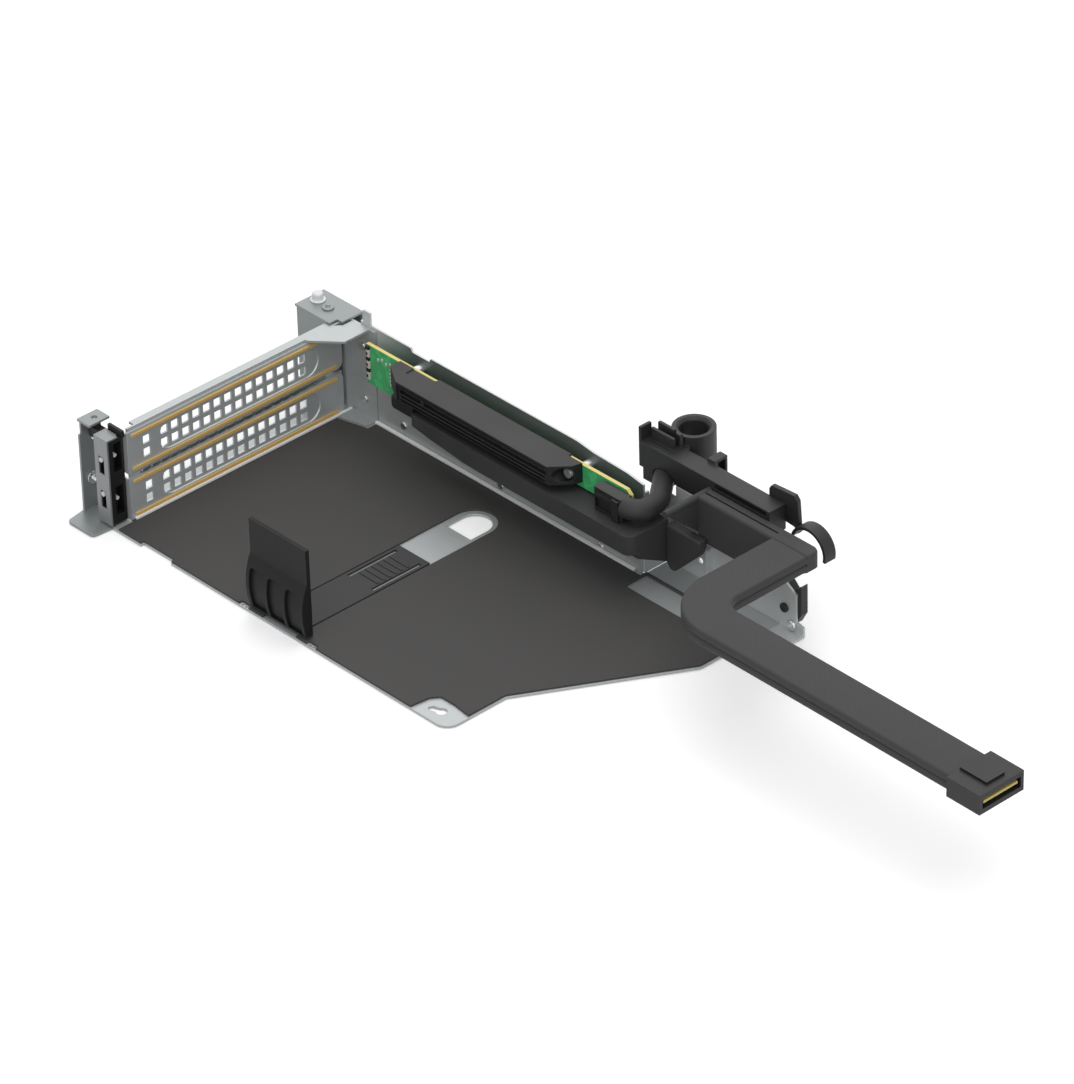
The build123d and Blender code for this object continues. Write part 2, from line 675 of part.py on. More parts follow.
def latch_cover():
    """Bent metal cover over the front and top of the latch."""
    y0 = LATCH_Y0 - COVER
    x0 = LATCH_X0 + 0.2
    front = block(x0, LATCH_X1, y0, LATCH_Y0, LATCH_Z0 - 0.2, LATCH_Z1 + COVER)
    back = LATCH_Y1 - 1.7
    roof = flat(outline([
        (x0, y0),
        (LATCH_X1, y0),
        (LATCH_X1, back - 0.8),
        (LATCH_X1 - 1.2, back - 0.8),
        (LATCH_X1 - 1.2, back),
        (x0, back),
    ]), LATCH_Z1, LATCH_Z1 + COVER)
    return front + roof - [front_window(z) for z in FRONT_WINDOWS_Z]


def latch_pegs():
    """Pegs inside the latch windows."""
    pegs = []
    x = (LATCH_X0 + LATCH_X1) / 2
    y = LATCH_Y0 + 2.1 + SIDE_WINDOW[0] / 2
    x0 = LATCH_X1 - SIDE_WINDOW_DEPTH
    pegs += [pin_x(y, z, PEG_RADIUS * 0.8, x0, LATCH_X1 - 1.6) for z in SIDE_WINDOWS_Z]
    end = LATCH_Y0 + FRONT_WINDOW_DEPTH
    rise = FRONT_WINDOW[1] / 2 - PEG_RADIUS - 0.3
    pegs += [pin_y(x, z + rise, PEG_RADIUS, LATCH_Y0 - COVER - 0.2, end) for z in FRONT_WINDOWS_Z]
    return Compound(children=pegs)


def latch_hinge_pin():
    """Headed pin from the ear down through the latch barrel."""
    head = pin_z(HINGE_X, HINGE_Y, HINGE_RADIUS + 0.8, BARREL_Z0 - 1.1, BARREL_Z0 - 0.3)
    return head + pin_z(HINGE_X, HINGE_Y, HINGE_RADIUS, BARREL_Z0 - 0.4, EAR_Z0 + 0.2)


def post_rivet():
    """Round stop on the post, with its stem towards the latch."""
    x = POST_X + SHEET
    y = HINGE_Y - 0.6
    return pin_x(y, 14.4, POST_RIVET_RADIUS, x, x + 0.9) + pin_x(y, 14.4, 1.1, x, x + 3.4)


def riser_board():
    """Circuit board with its stepped lower edge."""
    face = outline([
        (BOARD_X0, BOARD_LEFT_Z),
        (BOARD_DROP_X, BOARD_LEFT_Z),
        (BOARD_DROP_X + 2, BOARD_PLUG_Z),
        (BOARD_STEP_X - 1, BOARD_PLUG_Z),
        (BOARD_STEP_X, BOARD_RIGHT_Z),
        (BOARD_X1 - 1.5, BOARD_RIGHT_Z),
        (BOARD_X1, BOARD_RIGHT_Z + 1.5),
        (BOARD_X1, BOARD_TOP - 2),
        (BOARD_X1 - 2, BOARD_TOP),
        (BOARD_X0, BOARD_TOP),
    ])
    board = upright(face, BOARD_Y, BOARD_BACK)
    for x, z in STANDOFFS:
        board -= pin_y(x, z, BOARD_SCREW_RADIUS + 0.1, BOARD_Y - 1, BOARD_BACK + 1)
    return board


def board_chips():
    """Small parts soldered along the left end of the board."""
    chips = []
    for i in range(3):
        z = BOARD_LEFT_Z + 2.2 + 5.0 * i
        chips.append(block(BOARD_X0 + 0.8, BOARD_X0 + 2.4, BOARD_Y - 0.8, BOARD_Y, z, z + 3.2))
    for i in range(4):
        x = BOARD_X0 + 6.5 + 2.3 * i
        z = BOARD_TOP - 5.0 + 0.8 * (i % 2)
        chips.append(block(x, x + 1.0, BOARD_Y - 0.5, BOARD_Y, z, z + 1.3))
    return Compound(children=chips)


def board_standoffs():
    """Spacers between the board and the wall."""
    spacers = []
    for x, z in STANDOFFS:
        spacer = pin_y(x, z, STANDOFF_RADIUS, BOARD_BACK, WALL_Y)
        spacers.append(spacer - pin_y(x, z, BOARD_SCREW_RADIUS, BOARD_BACK - 1, WALL_Y + 1))
    return Compound(children=spacers)


def board_screws():
    """Screws from outside the wall through the spacers into the board."""
    screws = []
    for x, z in STANDOFFS:
        back = WALL_Y + SHEET
        head = pin_y(x, z, 2 * BOARD_SCREW_RADIUS, back, back + 1.5)
        screws.append(head + pin_y(x, z, BOARD_SCREW_RADIUS, BOARD_Y + 0.2, back))
    return Compound(children=screws)


def slot_housing():
    """Card connector: long body with a keyed slot between parallel grooves."""
    z0 = GUARD_BOTTOM + 0.3
    z1 = GUARD_TOP - GUARD_SKIN
    y0 = GUARD_Y + 0.4
    body = block(HOUSING_X0, HOUSING_X1, y0, BOARD_Y, z0, z1) - card_gap()
    for z in (z0 + 0.3, z0 + 2.0, z1 - HOUSING_GROOVE):
        body -= block(HOUSING_X0 + 1.5, HOUSING_X1 - 1.5, y0 - 1, y0 + 1.6, z, z + HOUSING_GROOVE)
    return body


def card_gap():
    """Both stretches of the card slot, with the key left between them."""
    y0 = GUARD_Y - 0.6
    y1 = GUARD_Y + 0.4 + CARD_DEPTH
    half = CARD_SLOT / 2
    z = GUARD_MID_Z + 0.6
    x = HOUSING_X0 + HOUSING_END
    short = block(x, x + CARD_SHORT, y0, y1, z - half, z + half)
    x += CARD_SHORT + CARD_KEY
    return short + block(x, x + CARD_LONG, y0, y1, z - half, z + half)


def slot_contacts():
    """Contact blades on both sides of the card slot."""
    z = GUARD_MID_Z + 0.6
    x0 = HOUSING_X0 + HOUSING_END
    y0 = GUARD_Y + 2.4
    y1 = GUARD_Y + CARD_DEPTH
    blades = []
    for start, length in ((x0, CARD_SHORT), (x0 + CARD_SHORT + CARD_KEY, CARD_LONG)):
        count = int(length / CONTACT_PITCH)
        for side in (-1, 1):
            wall = z + side * CARD_SLOT / 2
            inner = wall - side * CONTACT_DEPTH
            low, high = min(wall, inner), max(wall, inner)
            spine = (low, low + 0.12) if side < 0 else (high - 0.12, high)
            places = [start + CONTACT_PITCH * (i + 0.5) for i in range(count)]
            row = block(start + 0.1, start + length - 0.1, y0, y1, *spine)
            blades.append(row + [block(x - 0.3, x + 0.3, y0, y1, low, high) for x in places])
    return Compound(children=blades)


def guard_face():
    """Top view of the guard, with both ends cut back."""
    back = BOARD_Y - 0.1
    return outline([
        (GUARD_X0, back),
        (GUARD_X0 + 0.2, GUARD_Y + 6),
        (GUARD_X0 + GUARD_LEFT_RUN, GUARD_Y),
        (GUARD_X1 - GUARD_RIGHT_RUN, GUARD_Y),
        (GUARD_X1 - 1.2, GUARD_Y + 7.1),
        (GUARD_X1, back),
    ])


def slot_guard():
    """Moulded guard over the connector with a screw pocket at its right end."""
    guard = flat(guard_face(), GUARD_BOTTOM, GUARD_TOP)
    guard -= block(HOUSING_X0, HOUSING_X1, 0, 2 * BOARD_Y, 0, GUARD_TOP - GUARD_SKIN)
    lip = block(HOUSING_X0 + 10, HOUSING_X1, BOARD_Y - 0.5, BOARD_BACK - 0.2, BOARD_TOP, GUARD_TOP)
    pocket = pin_y(GUARD_SCREW_X, GUARD_SCREW_Z, GUARD_SCREW_RADIUS + 1, GUARD_Y - 2, GUARD_Y + 8)
    step = block(HOUSING_X0 - 2.6, HOUSING_X0 + 9.6, GUARD_Y + 7, BOARD_Y, GUARD_TOP - 0.4, GUARD_TOP + 1)
    return guard + lip - pocket - step


def guard_screw():
    """Screw at the bottom of the guard's pocket."""
    y1 = GUARD_Y + 8
    head = pin_y(GUARD_SCREW_X, GUARD_SCREW_Z, GUARD_SCREW_RADIUS, y1 - 1.6, y1)
    slot = Pos(GUARD_SCREW_X, y1 - 1.6, GUARD_SCREW_Z) * Rot(0, 35, 0) * Box(2.4, 1, 0.5)
    return head - slot


def side_header():
    """Low header that the side plug stands on."""
    return block(PLUG_X0 + 0.6, PLUG_X1 - 0.6, BOARD_Y - 1, BOARD_Y, BOARD_RIGHT_Z + 0.2, PLUG_Z1 - 0.6)


def side_plug():
    """Side plug with its moulded latch bar."""
    back = BOARD_Y - 1
    plug = block(PLUG_X0, PLUG_X1, PLUG_Y0, back, PLUG_Z0, PLUG_Z1)
    edges = plug.edges().filter_by(Axis.Z).sort_by(Axis.Y)[:2]
    plug = chamfer(edges, 0.6)
    plug -= block(PLUG_X0 + 1, PLUG_X1 - 5, PLUG_Y0 - 1, PLUG_Y0 + 1.2, PLUG_Z0 + 1.2, PLUG_Z1 - 3.4)
    bar = block(PLUG_X1 - 4.2, PLUG_X1 - 0.7, PLUG_Y0 - 1.2, PLUG_Y0 + 0.4, PLUG_Z0, PLUG_Z1 - 0.8)
    bridge = block(PLUG_X0 + 1.8, PLUG_X1 - 4.2, PLUG_Y0 - 0.9, PLUG_Y0 + 0.4, PLUG_Z1 - 3.4, PLUG_Z1 - 1.8)
    return plug + bar + bridge


def side_cable(radius=CABLE_RADIUS):
    """Round cable from the side plug round into the holder."""
    path = FilletPolyline(*CABLE_ROUTE, radius=list(CABLE_BENDS))
    section = Plane(origin=path @ 0, z_dir=path % 0) * Circle(radius)
    return sweep(section, path)


def board_plugs():
    """Low plug below the connector where the flat sleeve is rolled in."""
    x0 = SLEEVE_X0 - 7
    z0 = SLEEVE_Z0 + 4.8
    plug = block(x0, SLEEVE_X0 + 6, GUARD_Y + 2, BOARD_Y, z0, GUARD_BOTTOM - 0.2)
    end = plug.edges().filter_by(Axis.Y).sort_by(Axis.X)[:2]
    plug = fillet(end, ROLL_RADIUS)
    front = plug.faces().sort_by(Axis.Y)[0].edges().filter_by(Axis.X)
    return fillet(front, 1.5)


def flat_sleeve():
    """Flat sleeved cable along the wall, which turns back round its end."""
    wide = BOARD_STEP_X + 1
    start = SLEEVE_X0 + 6.1
    face = outline([
        (start, SLEEVE_Y0 + 1),
        (wide, SLEEVE_Y0),
        (SLEEVE_X1, SLEEVE_Y0),
        (SLEEVE_X1, WALL_Y + 1.8),
        (JOG_X + 0.4, WALL_Y + 1.8),
        (JOG_X + 0.4, INNER_Y - 0.3),
        (wide, INNER_Y - 0.3),
        (wide, BOARD_Y - 0.2),
        (start, BOARD_Y - 0.2),
    ])
    corner = face.vertices().sort_by_distance((SLEEVE_X1, SLEEVE_Y0, 0))[0]
    sleeve = flat(fillet(corner, SLEEVE_CORNER), SLEEVE_Z0, SLEEVE_Z1)
    sleeve -= block(wide + 0.3, JOG_X - 1, BOARD_Y - 0.3, BOARD_BACK + 0.3, SLEEVE_Z1 - 0.2, SLEEVE_Z1 + 1)
    sleeve -= upright(outline([
        (start - 1, SLEEVE_Z0 - 1),
        (start - 1, SLEEVE_Z0 + 3.0),
        (start + 10, SLEEVE_Z0 + 1.6),
        (start + 25, SLEEVE_Z0 + 0.4),
        (start + 38, SLEEVE_Z0 - 1),
    ]), SLEEVE_Y0 - 1, WALL_Y)
    drop = across(outline([
        (SLEEVE_Y0 + SLEEVE_CORNER, SLEEVE_Z0 + 0.2),
        (SLEEVE_Y0 + SLEEVE_CORNER, SLEEVE_Z0 - 0.2 * SLEEVE_DROP),
        (WALL_Y + 1.8, SLEEVE_Z0 - SLEEVE_DROP),
        (WALL_Y + 1.8, SLEEVE_Z1),
    ]), JOG_X + 1.6, SLEEVE_X1)
    return sleeve + drop


def sleeve_fold():
    """Slanted fold where the flat cable turns up on to its edge."""
    x0 = SLEEVE_X1
    x1 = STANDING_X0 + 5.0
    face = outline([
        (x0, SLEEVE_Z1 - 1.4),
        (x1, SLEEVE_Z1 - 1.6),
        (x1, SLEEVE_Z0 + 3.1),
        (x1 - 1.4, SLEEVE_Z0 - 0.3),
        (x0 + 4, SLEEVE_Z0 - 12.9),
        (x0 + 1.6, SLEEVE_Z0 - 12.4),
        (x0, SLEEVE_Z0 - 9.8),
    ])
    return upright(face, WALL_Y + 0.2, STANDING_Y0)


def sleeve_standing():
    """Cable on its edge along the holder, with the folded triangle at its left."""
    bottom = LOOM_TOP - RIBBON_WIDTH
    end = LOOM_X0 + RIBBON_WIDTH
    face = outline([
        (STANDING_X0, bottom),
        (LOOM_X0, bottom),
        (end, LOOM_BOTTOM),
        (end, LOOM_TOP),
        (STANDING_X0, LOOM_TOP),
    ])
    standing = upright(face, STANDING_Y0, STANDING_Y0 + STANDING_THICK)
    back = standing.edges().filter_by(Axis.Z).sort_by(Axis.X)[-2:]
    standing = fillet(back.sort_by(Axis.Y)[-1], 4.0)
    front = standing.edges().filter_by(Axis.X).group_by(Axis.Z)[-1]
    standing = fillet(front, RIBBON_EDGE)
    middle = STANDING_Y0 + STANDING_THICK / 2
    standing -= block(STANDING_X0 - 1, LOOM_X0, middle - 0.4, middle + 0.4, LOOM_TOP - 0.8, LOOM_TOP + 1)
    reach = STANDING_Y0 - RIBBON_WIDTH + 3.2
    triangle = across(outline([
        (reach, LOOM_TOP - 1.5),
        (STANDING_Y0 + 1, bottom + 2.3),
        (STANDING_Y0 + 1, LOOM_TOP - 1.5),
    ]), STANDING_X0 - 2.6, STANDING_X0)
    roll = pin_y(STANDING_X0 - 1.3, LOOM_TOP - 1.5, 1.5, reach, STANDING_Y0 + STANDING_THICK)
    return standing + triangle + roll


def ribbon_section(plane):
    """Cross-section of the flat cable: two layers with rounded edges."""
    shift = (RIBBON_THICK - RIBBON_LAYER) / 2
    layer = RectangleRounded(RIBBON_WIDTH, RIBBON_LAYER, RIBBON_EDGE)
    return plane * (Pos(0, shift) * layer + Pos(0, -shift) * layer)


def loom_elbow():
    """Flat bend from the standing cable round to the free run."""
    x = LOOM_X0 + RIBBON_WIDTH / 2
    z = (LOOM_TOP + LOOM_BOTTOM) / 2
    radius = LOOM_BEND_INNER + RIBBON_WIDTH / 2
    path = FilletPolyline((x, STANDING_Y0, z), (x, LOOM_Y, z), (LOOM_ROUTE[0][0], LOOM_Y, z), radius=radius)
    return sweep(ribbon_section(Plane(origin=path @ 0, x_dir=(1, 0, 0), z_dir=path % 0)), path)


def signal_loom():
    """Free run of the flat cable."""
    path = loom_path()
    arc = path.edges().sort_by(Axis.X)[1]
    print("signal_loom length", round(path.length, 1), "arc radius", round(arc.radius, 1))
    return sweep(ribbon_section(Plane(origin=path @ 0, x_dir=(0, 1, 0), z_dir=path % 0)), path)


def loom_path():
    """Centre line of the free run: straight runs with one wide arc."""
    a, b, c = (Vector(*p) for p in LOOM_ROUTE)
    turn = math.radians((b - a).get_angle(c - b))
    radius = 0.45 * min((b - a).length, (c - b).length) / math.tan(turn / 2)
    return FilletPolyline(a, b, c, radius=radius)


def plug_plane():
    """Plane across the far end of the free run."""
    path = loom_path()
    return Plane(origin=path @ 1, x_dir=(0, 1, 0), z_dir=path % 1)


def loom_plug():
    """Connector shell with a raised rib, on the far end of the cable."""
    plane = plug_plane()
    shell = extrude(plane * Rectangle(LOOM_PLUG_WIDTH, LOOM_PLUG_HEIGHT), LOOM_PLUG_LENGTH)
    mouth = plane.offset(LOOM_PLUG_LENGTH - 5) * Rectangle(LOOM_PLUG_WIDTH - 3, LOOM_PLUG_HEIGHT - 4)
    rib = plane * Pos(0, LOOM_PLUG_HEIGHT / 2 + 0.4) * Rectangle(9, 1.0)
    return shell + extrude(rib, LOOM_PLUG_LENGTH - 3) - extrude(mouth, LOOM_PLUG_LENGTH)


def loom_paddle():
    """Contact card inside the connector's mouth."""
    plane = plug_plane().offset(LOOM_PLUG_LENGTH - 5)
    return extrude(plane * Rectangle(LOOM_PLUG_WIDTH - 5, 1.0), 4.4)


def holder_channel():
    """Long channel of the holder, hollow from behind, with a recess below its lip."""
    rear = HOLDER_Y1
    body = block(HOLDER_X0, HOLDER_X1, WALL2_Y, rear, HOLDER_Z0, HOLDER_TOP)
    wall = HOLDER_WALL
    front = WALL2_Y + RECESS_DEPTH + wall
    pocket = block(HOLDER_X0 + 36, HOLDER_X1 - wall, front, rear + 1, HOLDER_Z0 + wall, HOLDER_TOP - wall)
    low = HOLDER_TOP - 3.0
    recess = block(HOLDER_X0 + 40.5, HOLDER_X1 - wall, WALL2_Y - 1, WALL2_Y + RECESS_DEPTH, low, low + 2.1)
    grip = block(HOLDER_X0 + 2, JOG_X - SHEET - 0.3, WALL2_Y, rear, HOLDER_Z0 - 5, HOLDER_Z0)
    return body - pocket - recess + grip


def holder_clips():
    """Clip plates on the left end of the holder."""
    top = HOLDER_TOP - 1
    end_clip = block(HOLDER_X0, HOLDER_X0 + 1.5, WALL2_Y, WALL2_Y + 5.6, top, 53.6)
    front = block(HOLDER_X0 + 2.3, HOLDER_X0 + 14.3, WALL2_Y + 4.1, WALL2_Y + 5.6, top, 52.2)
    rear = block(HOLDER_X0 + 3, HOLDER_X0 + 11.6, HOLDER_Y1 - 1.5, HOLDER_Y1, top, 53.8)
    stop = block(HOLDER_X0 + 12.2, HOLDER_X0 + 14.8, HOLDER_Y1 - 1.4, HOLDER_Y1 + 0.4, top, 52.8)
    return end_clip + front + rear + stop


def holder_ring():
    """Ring that guides a round cable, with a flared mouth and its arm."""
    ring = pin_z(RING_X, RING_Y, RING_RADIUS, RING_BOTTOM, RING_TOP)
    near = RING_Y - RING_RADIUS + 1.5
    arm = block(RING_X - 5, RING_X + 5, HOLDER_Y1 - 1, near, RING_BOTTOM, HOLDER_TOP)
    bore = pin_z(RING_X, RING_Y, RING_BORE, RING_BOTTOM - 1, RING_TOP + 1)
    flare = Pos(RING_X, RING_Y, RING_TOP - 0.6) * Cone(RING_BORE, RING_BORE + 1.2, 1.2)
    return ring + arm - bore - flare


def rear_clip():
    """Small hollow clip on the back of the holder, open to the right."""
    x0 = HOLDER_X0 + REAR_CLIP_X
    x1 = x0 + REAR_CLIP_LENGTH
    y1 = HOLDER_Y1 + REAR_CLIP_DEPTH
    low = HOLDER_TOP - 6.0
    clip = block(x0, x1, HOLDER_Y1 - 0.5, y1, low, HOLDER_TOP + 1.4)
    return clip - block(x0 + 1.2, x1 + 1, HOLDER_Y1 + 1.2, y1 - 1.2, low + 1.2, HOLDER_TOP + 0.2)


def cable_holder():
    """One moulding: channel, clips, ring and rear clip."""
    way = side_cable(CABLE_RADIUS + CABLE_PLAY)
    return holder_channel() + holder_clips() + holder_ring() + rear_clip() - way


def hook_arc():
    """Curved strip of the hook, drawn in X and Z."""
    radius = HOOK_RADIUS - HOOK_THICK / 2
    arc = CenterArc((HOOK_CENTRE_X, HOOK_CENTRE_Z), radius, HOOK_END, HOOK_START - HOOK_END)
    return trace(arc, HOOK_THICK)


def cable_hook():
    """Hook plate behind the holder with its curved finger."""
    x0 = HOLDER_X1 - 8.9
    x1 = HOOK_CENTRE_X - HOOK_RADIUS
    top = HOLDER_TOP + 5.2
    face = outline([
        (x0, HOOK_CENTRE_Z + 4.4),
        (x1 - 1.4, HOOK_CENTRE_Z + 3.4),
        (x1 + 0.6, HOOK_CENTRE_Z + 1.2),
        (x1 + 1.2, HOOK_CENTRE_Z + 2.9),
        (x1 + 0.3, top - 1.9),
        (x1 - 1.3, top),
        (x0 + 1.2, top - 0.8),
        (x0, top - 2.5),
    ])
    plate = upright(face, HOLDER_Y1, HOLDER_Y1 + HOOK_PLATE)
    return plate + upright(hook_arc(), HOLDER_Y1 - HOOK_REACH, HOLDER_Y1 + HOOK_PLATE)


def edge_clip():
    """Clip behind the free edge of the set-back wall."""
    x1 = WALL2_X1 - 2.0
    x0 = x1 - 9.5
    y0 = WALL2_Y + SHEET
    face = outline([
        (x0, 9.0),
        (x0 + 4.5, 3.8),
        (x1 - 2.7, 3.8),
        (x1, 8.7),
        (x1, 21.5),
        (x1 - 1.6, 19.5),
        (x1 - 4.2, 17.8),
        (x0 + 2.7, 20.5),
        (x0, 18.0),
    ])
    return upright(face, y0, y0 + 3.6)


def panel_button():
    """Round plastic button in the set-back wall."""
    return pin_y(BUTTON_X, BUTTON_Z, BUTTON_RADIUS, WALL2_Y - 1.1, WALL2_Y)


def panel_screw():
    """Pan-head screw low on the set-back wall."""
    head = pin_y(PANEL_SCREW_X, PANEL_SCREW_Z, 2.2, WALL2_Y - 1.2, WALL2_Y)
    rim = head.edges().filter_by(GeomType.CIRCLE).sort_by(Axis.Y)[0]
    return fillet(rim, 0.7) - pin_y(PANEL_SCREW_X, PANEL_SCREW_Z, 0.8, WALL2_Y - 2, WALL2_Y - 0.6)


def rivet(x, z, y):
    """Low round head that faces the cards."""
    head = pin_y(x, z, RIVET_RADIUS, y - RIVET_HEAD, y)
    rim = head.edges().filter_by(GeomType.CIRCLE).sort_by(Axis.Y)[0]
    return fillet(rim, RIVET_HEAD * 0.6)


def wall_rivets():
    """Rivets along the floor's flange."""
    return Compound(children=[rivet(x, z, INNER_Y) for x, z in WALL_RIVETS])


def frame_rivets():
    """Rivets in the frame's return."""
    heights = (RETURN_RIVET_Z, CAGE_HEIGHT - RETURN_RIVET_Z)
    return Compound(children=[rivet(RETURN_RIVET_X, z, INNER_Y) for z in heights])


def support_profile(inset=0):
    """Side view of the bulged lower half and the straight upper one, in Y and Z."""
    z0 = SHEET + FILM + SUPPORT_CLEAR
    front = SUPPORT_Y + inset
    waist = (front, SUPPORT_WAIST)
    bulge = (front - SUPPORT_BULGE, (SUPPORT_WAIST + z0) / 2)
    foot = (front - 1, z0)
    back = SUPPORT_Y + SUPPORT_THICK
    edges = [
        Line((front, SUPPORT_TOP), waist),
        ThreePointArc(waist, bulge, foot),
        Line(foot, (back, z0)),
        Line((back, z0), (back, SUPPORT_TOP)),
        Line((back, SUPPORT_TOP), (front, SUPPORT_TOP)),
    ]
    return make_face(edges)


def scoop(index):
    """One shallow recess in the bulge, with a rounded top and a flat bottom."""
    margin = (SUPPORT_X1 - SUPPORT_X0 - SCOOPS * SCOOP_WIDTH) / (SCOOPS + 1)
    x0 = SUPPORT_X0 + margin + (SCOOP_WIDTH + margin) * index
    x1 = x0 + SCOOP_WIDTH
    z0 = SHEET + FILM + SUPPORT_CLEAR + 0.8
    reach = SUPPORT_Y - 3 * SUPPORT_BULGE
    front = block(x0, x1, reach, SUPPORT_Y + SCOOP_DEPTH, z0, SCOOP_TOP)
    front = fillet(front.edges().filter_by(Axis.Y).group_by(Axis.Z)[-1], 1.6)
    return front - across(support_profile(SCOOP_DEPTH), x0 - 1, x1 + 1)


def tongue():
    """Thin strip on the floor with the sprung finger and its grip ribs."""
    z0 = SHEET + BEND_GAP
    strip = block(TONGUE_X0, TONGUE_X1, SUPPORT_Y + 0.5, TONGUE_END, z0, z0 + TONGUE_THICK)
    for x in (TONGUE_X0 + 1.2, TONGUE_X1 - 1.2 - TONGUE_SLIT):
        strip -= block(x, x + TONGUE_SLIT, 30, TONGUE_END - 3, 0, 2 * z0 + 2)
    for i in range(6):
        y = 34 + 3.0 * i
        top = z0 + TONGUE_THICK
        strip += block(TONGUE_X0 + 3.4, TONGUE_X1 - 3.4, y, y + 1.1, top - 0.3, top + 0.35)
    return strip


def card_support():
    """Sliding card support: bulged upright with scoops, on its floor strip."""
    upper = across(support_profile(), SUPPORT_X0, SUPPORT_X1)
    upper -= [scoop(i) for i in range(SCOOPS)]
    z0 = SHEET + BEND_GAP
    root = block(TONGUE_X0, TONGUE_X1, SUPPORT_Y + 0.5, SUPPORT_Y + 2.6, z0, SHEET + FILM + 2)
    return upper + root + tongue()


def build_cage():
    """Sheet-metal pieces and their fasteners."""
    save(slot_frame(), "slot_frame")
    save(floor_tray(), "floor_tray")
    save(insulator_sheet(), "insulator_sheet")
    save(side_wall(), "side_wall")
    save(guide_box(), "guide_box")
    save(locating_pin(), "locating_pin")
    save(guide_screw(), "guide_screw")
    save(wall_rivets(), "wall_rivets")
    save(frame_rivets(), "frame_rivets")
    save(panel_button(), "panel_button")
    save(panel_screw(), "panel_screw")


def build_fillers():
    """Slot fillers, gaskets and spring fingers."""
    for name, z in zip(("lower", "upper"), SLOT_Z):
        save(filler(z), f"filler_{name}")
        save(gaskets(z), f"gasket_{name}")
    save(grounding_springs(), "grounding_springs")


def build_latch():
    """Card latch, its post and its hinge."""
    save(latch_post(), "latch_post")
    save(post_rivet(), "post_rivet")
    save(latch_body(), "latch_body")
    save(latch_cover(), "latch_cover")
    save(latch_pegs(), "latch_pegs")
    save(latch_hinge_pin(), "latch_hinge_pin")


def build_board():
    """Riser board and all that is fixed to it."""
    save(riser_board(), "riser_board")
    save(board_chips(), "board_chips")
    save(board_standoffs(), "board_standoffs")
    save(board_screws(), "board_screws")
    save(slot_housing(), "slot_housing")
    save(slot_contacts(), "slot_contacts")
    save(slot_guard(), "slot_guard")
    save(guard_screw(), "guard_screw")
    save(board_plugs(), "board_plugs")
    save(side_header(), "side_header")
    save(side_plug(), "side_plug")


def build_cables():
    """Cables, their folds and the connector on the free end."""
    save(side_cable(), "side_cable")
    save(flat_sleeve(), "flat_sleeve")
    save(sleeve_fold(), "sleeve_fold")
    save(sleeve_standing(), "sleeve_standing")
    save(loom_elbow(), "loom_elbow")
    save(signal_loom(), "signal_loom")
    save(loom_plug(), "loom_plug")
    save(loom_paddle(), "loom_paddle")


def build_plastics():
    """Cable holder, hook, clip and the card support."""
    save(cable_holder(), "cable_holder")
    save(cable_hook(), "cable_hook")
    save(edge_clip(), "edge_clip")
    save(card_support(), "card_support")


os.makedirs("parts", exist_ok=True)
build_cage()
build_fillers()
build_latch()
build_board()
build_cables()
build_plastics()
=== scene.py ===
import json
import logging
import math
from dataclasses import dataclass
from enum import Enum
from typing import Any, Optional, Sequence

import bpy
from mathutils import Matrix, Vector


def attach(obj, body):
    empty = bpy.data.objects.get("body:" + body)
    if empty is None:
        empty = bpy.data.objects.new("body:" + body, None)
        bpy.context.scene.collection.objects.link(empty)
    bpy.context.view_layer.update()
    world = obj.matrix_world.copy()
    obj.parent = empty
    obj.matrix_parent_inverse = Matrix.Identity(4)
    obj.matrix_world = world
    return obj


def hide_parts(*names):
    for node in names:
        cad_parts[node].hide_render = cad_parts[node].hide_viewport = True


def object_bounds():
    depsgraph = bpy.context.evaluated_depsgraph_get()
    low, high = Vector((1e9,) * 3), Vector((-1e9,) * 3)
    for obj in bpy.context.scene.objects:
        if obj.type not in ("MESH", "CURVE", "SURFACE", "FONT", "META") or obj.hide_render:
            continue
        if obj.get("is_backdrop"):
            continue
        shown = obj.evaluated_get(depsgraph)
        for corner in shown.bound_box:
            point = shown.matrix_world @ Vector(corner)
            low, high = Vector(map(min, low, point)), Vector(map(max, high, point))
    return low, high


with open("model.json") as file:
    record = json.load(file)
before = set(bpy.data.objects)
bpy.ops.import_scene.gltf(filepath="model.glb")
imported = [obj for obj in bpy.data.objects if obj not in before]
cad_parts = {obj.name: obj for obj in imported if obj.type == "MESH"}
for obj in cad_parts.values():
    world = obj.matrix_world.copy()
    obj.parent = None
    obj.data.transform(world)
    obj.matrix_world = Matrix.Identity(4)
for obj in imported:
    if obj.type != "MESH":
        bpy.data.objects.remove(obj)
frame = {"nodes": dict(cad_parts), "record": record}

log = logging.getLogger("riser_cage")
Colour = tuple[float, float, float]
Point = tuple[float, float, float]
MM = 0.001
MERGE_DISTANCE = 0.002 * MM
FLAT_ANGLE = math.radians(0.6)
SHARP_ANGLE = math.radians(28)
SMOOTH_ANGLE = math.radians(35)
EDGE_STEPS = 2


class Axis(Enum):
    """A row axis by its place in a vector."""

    X = 0
    Y = 1
    Z = 2


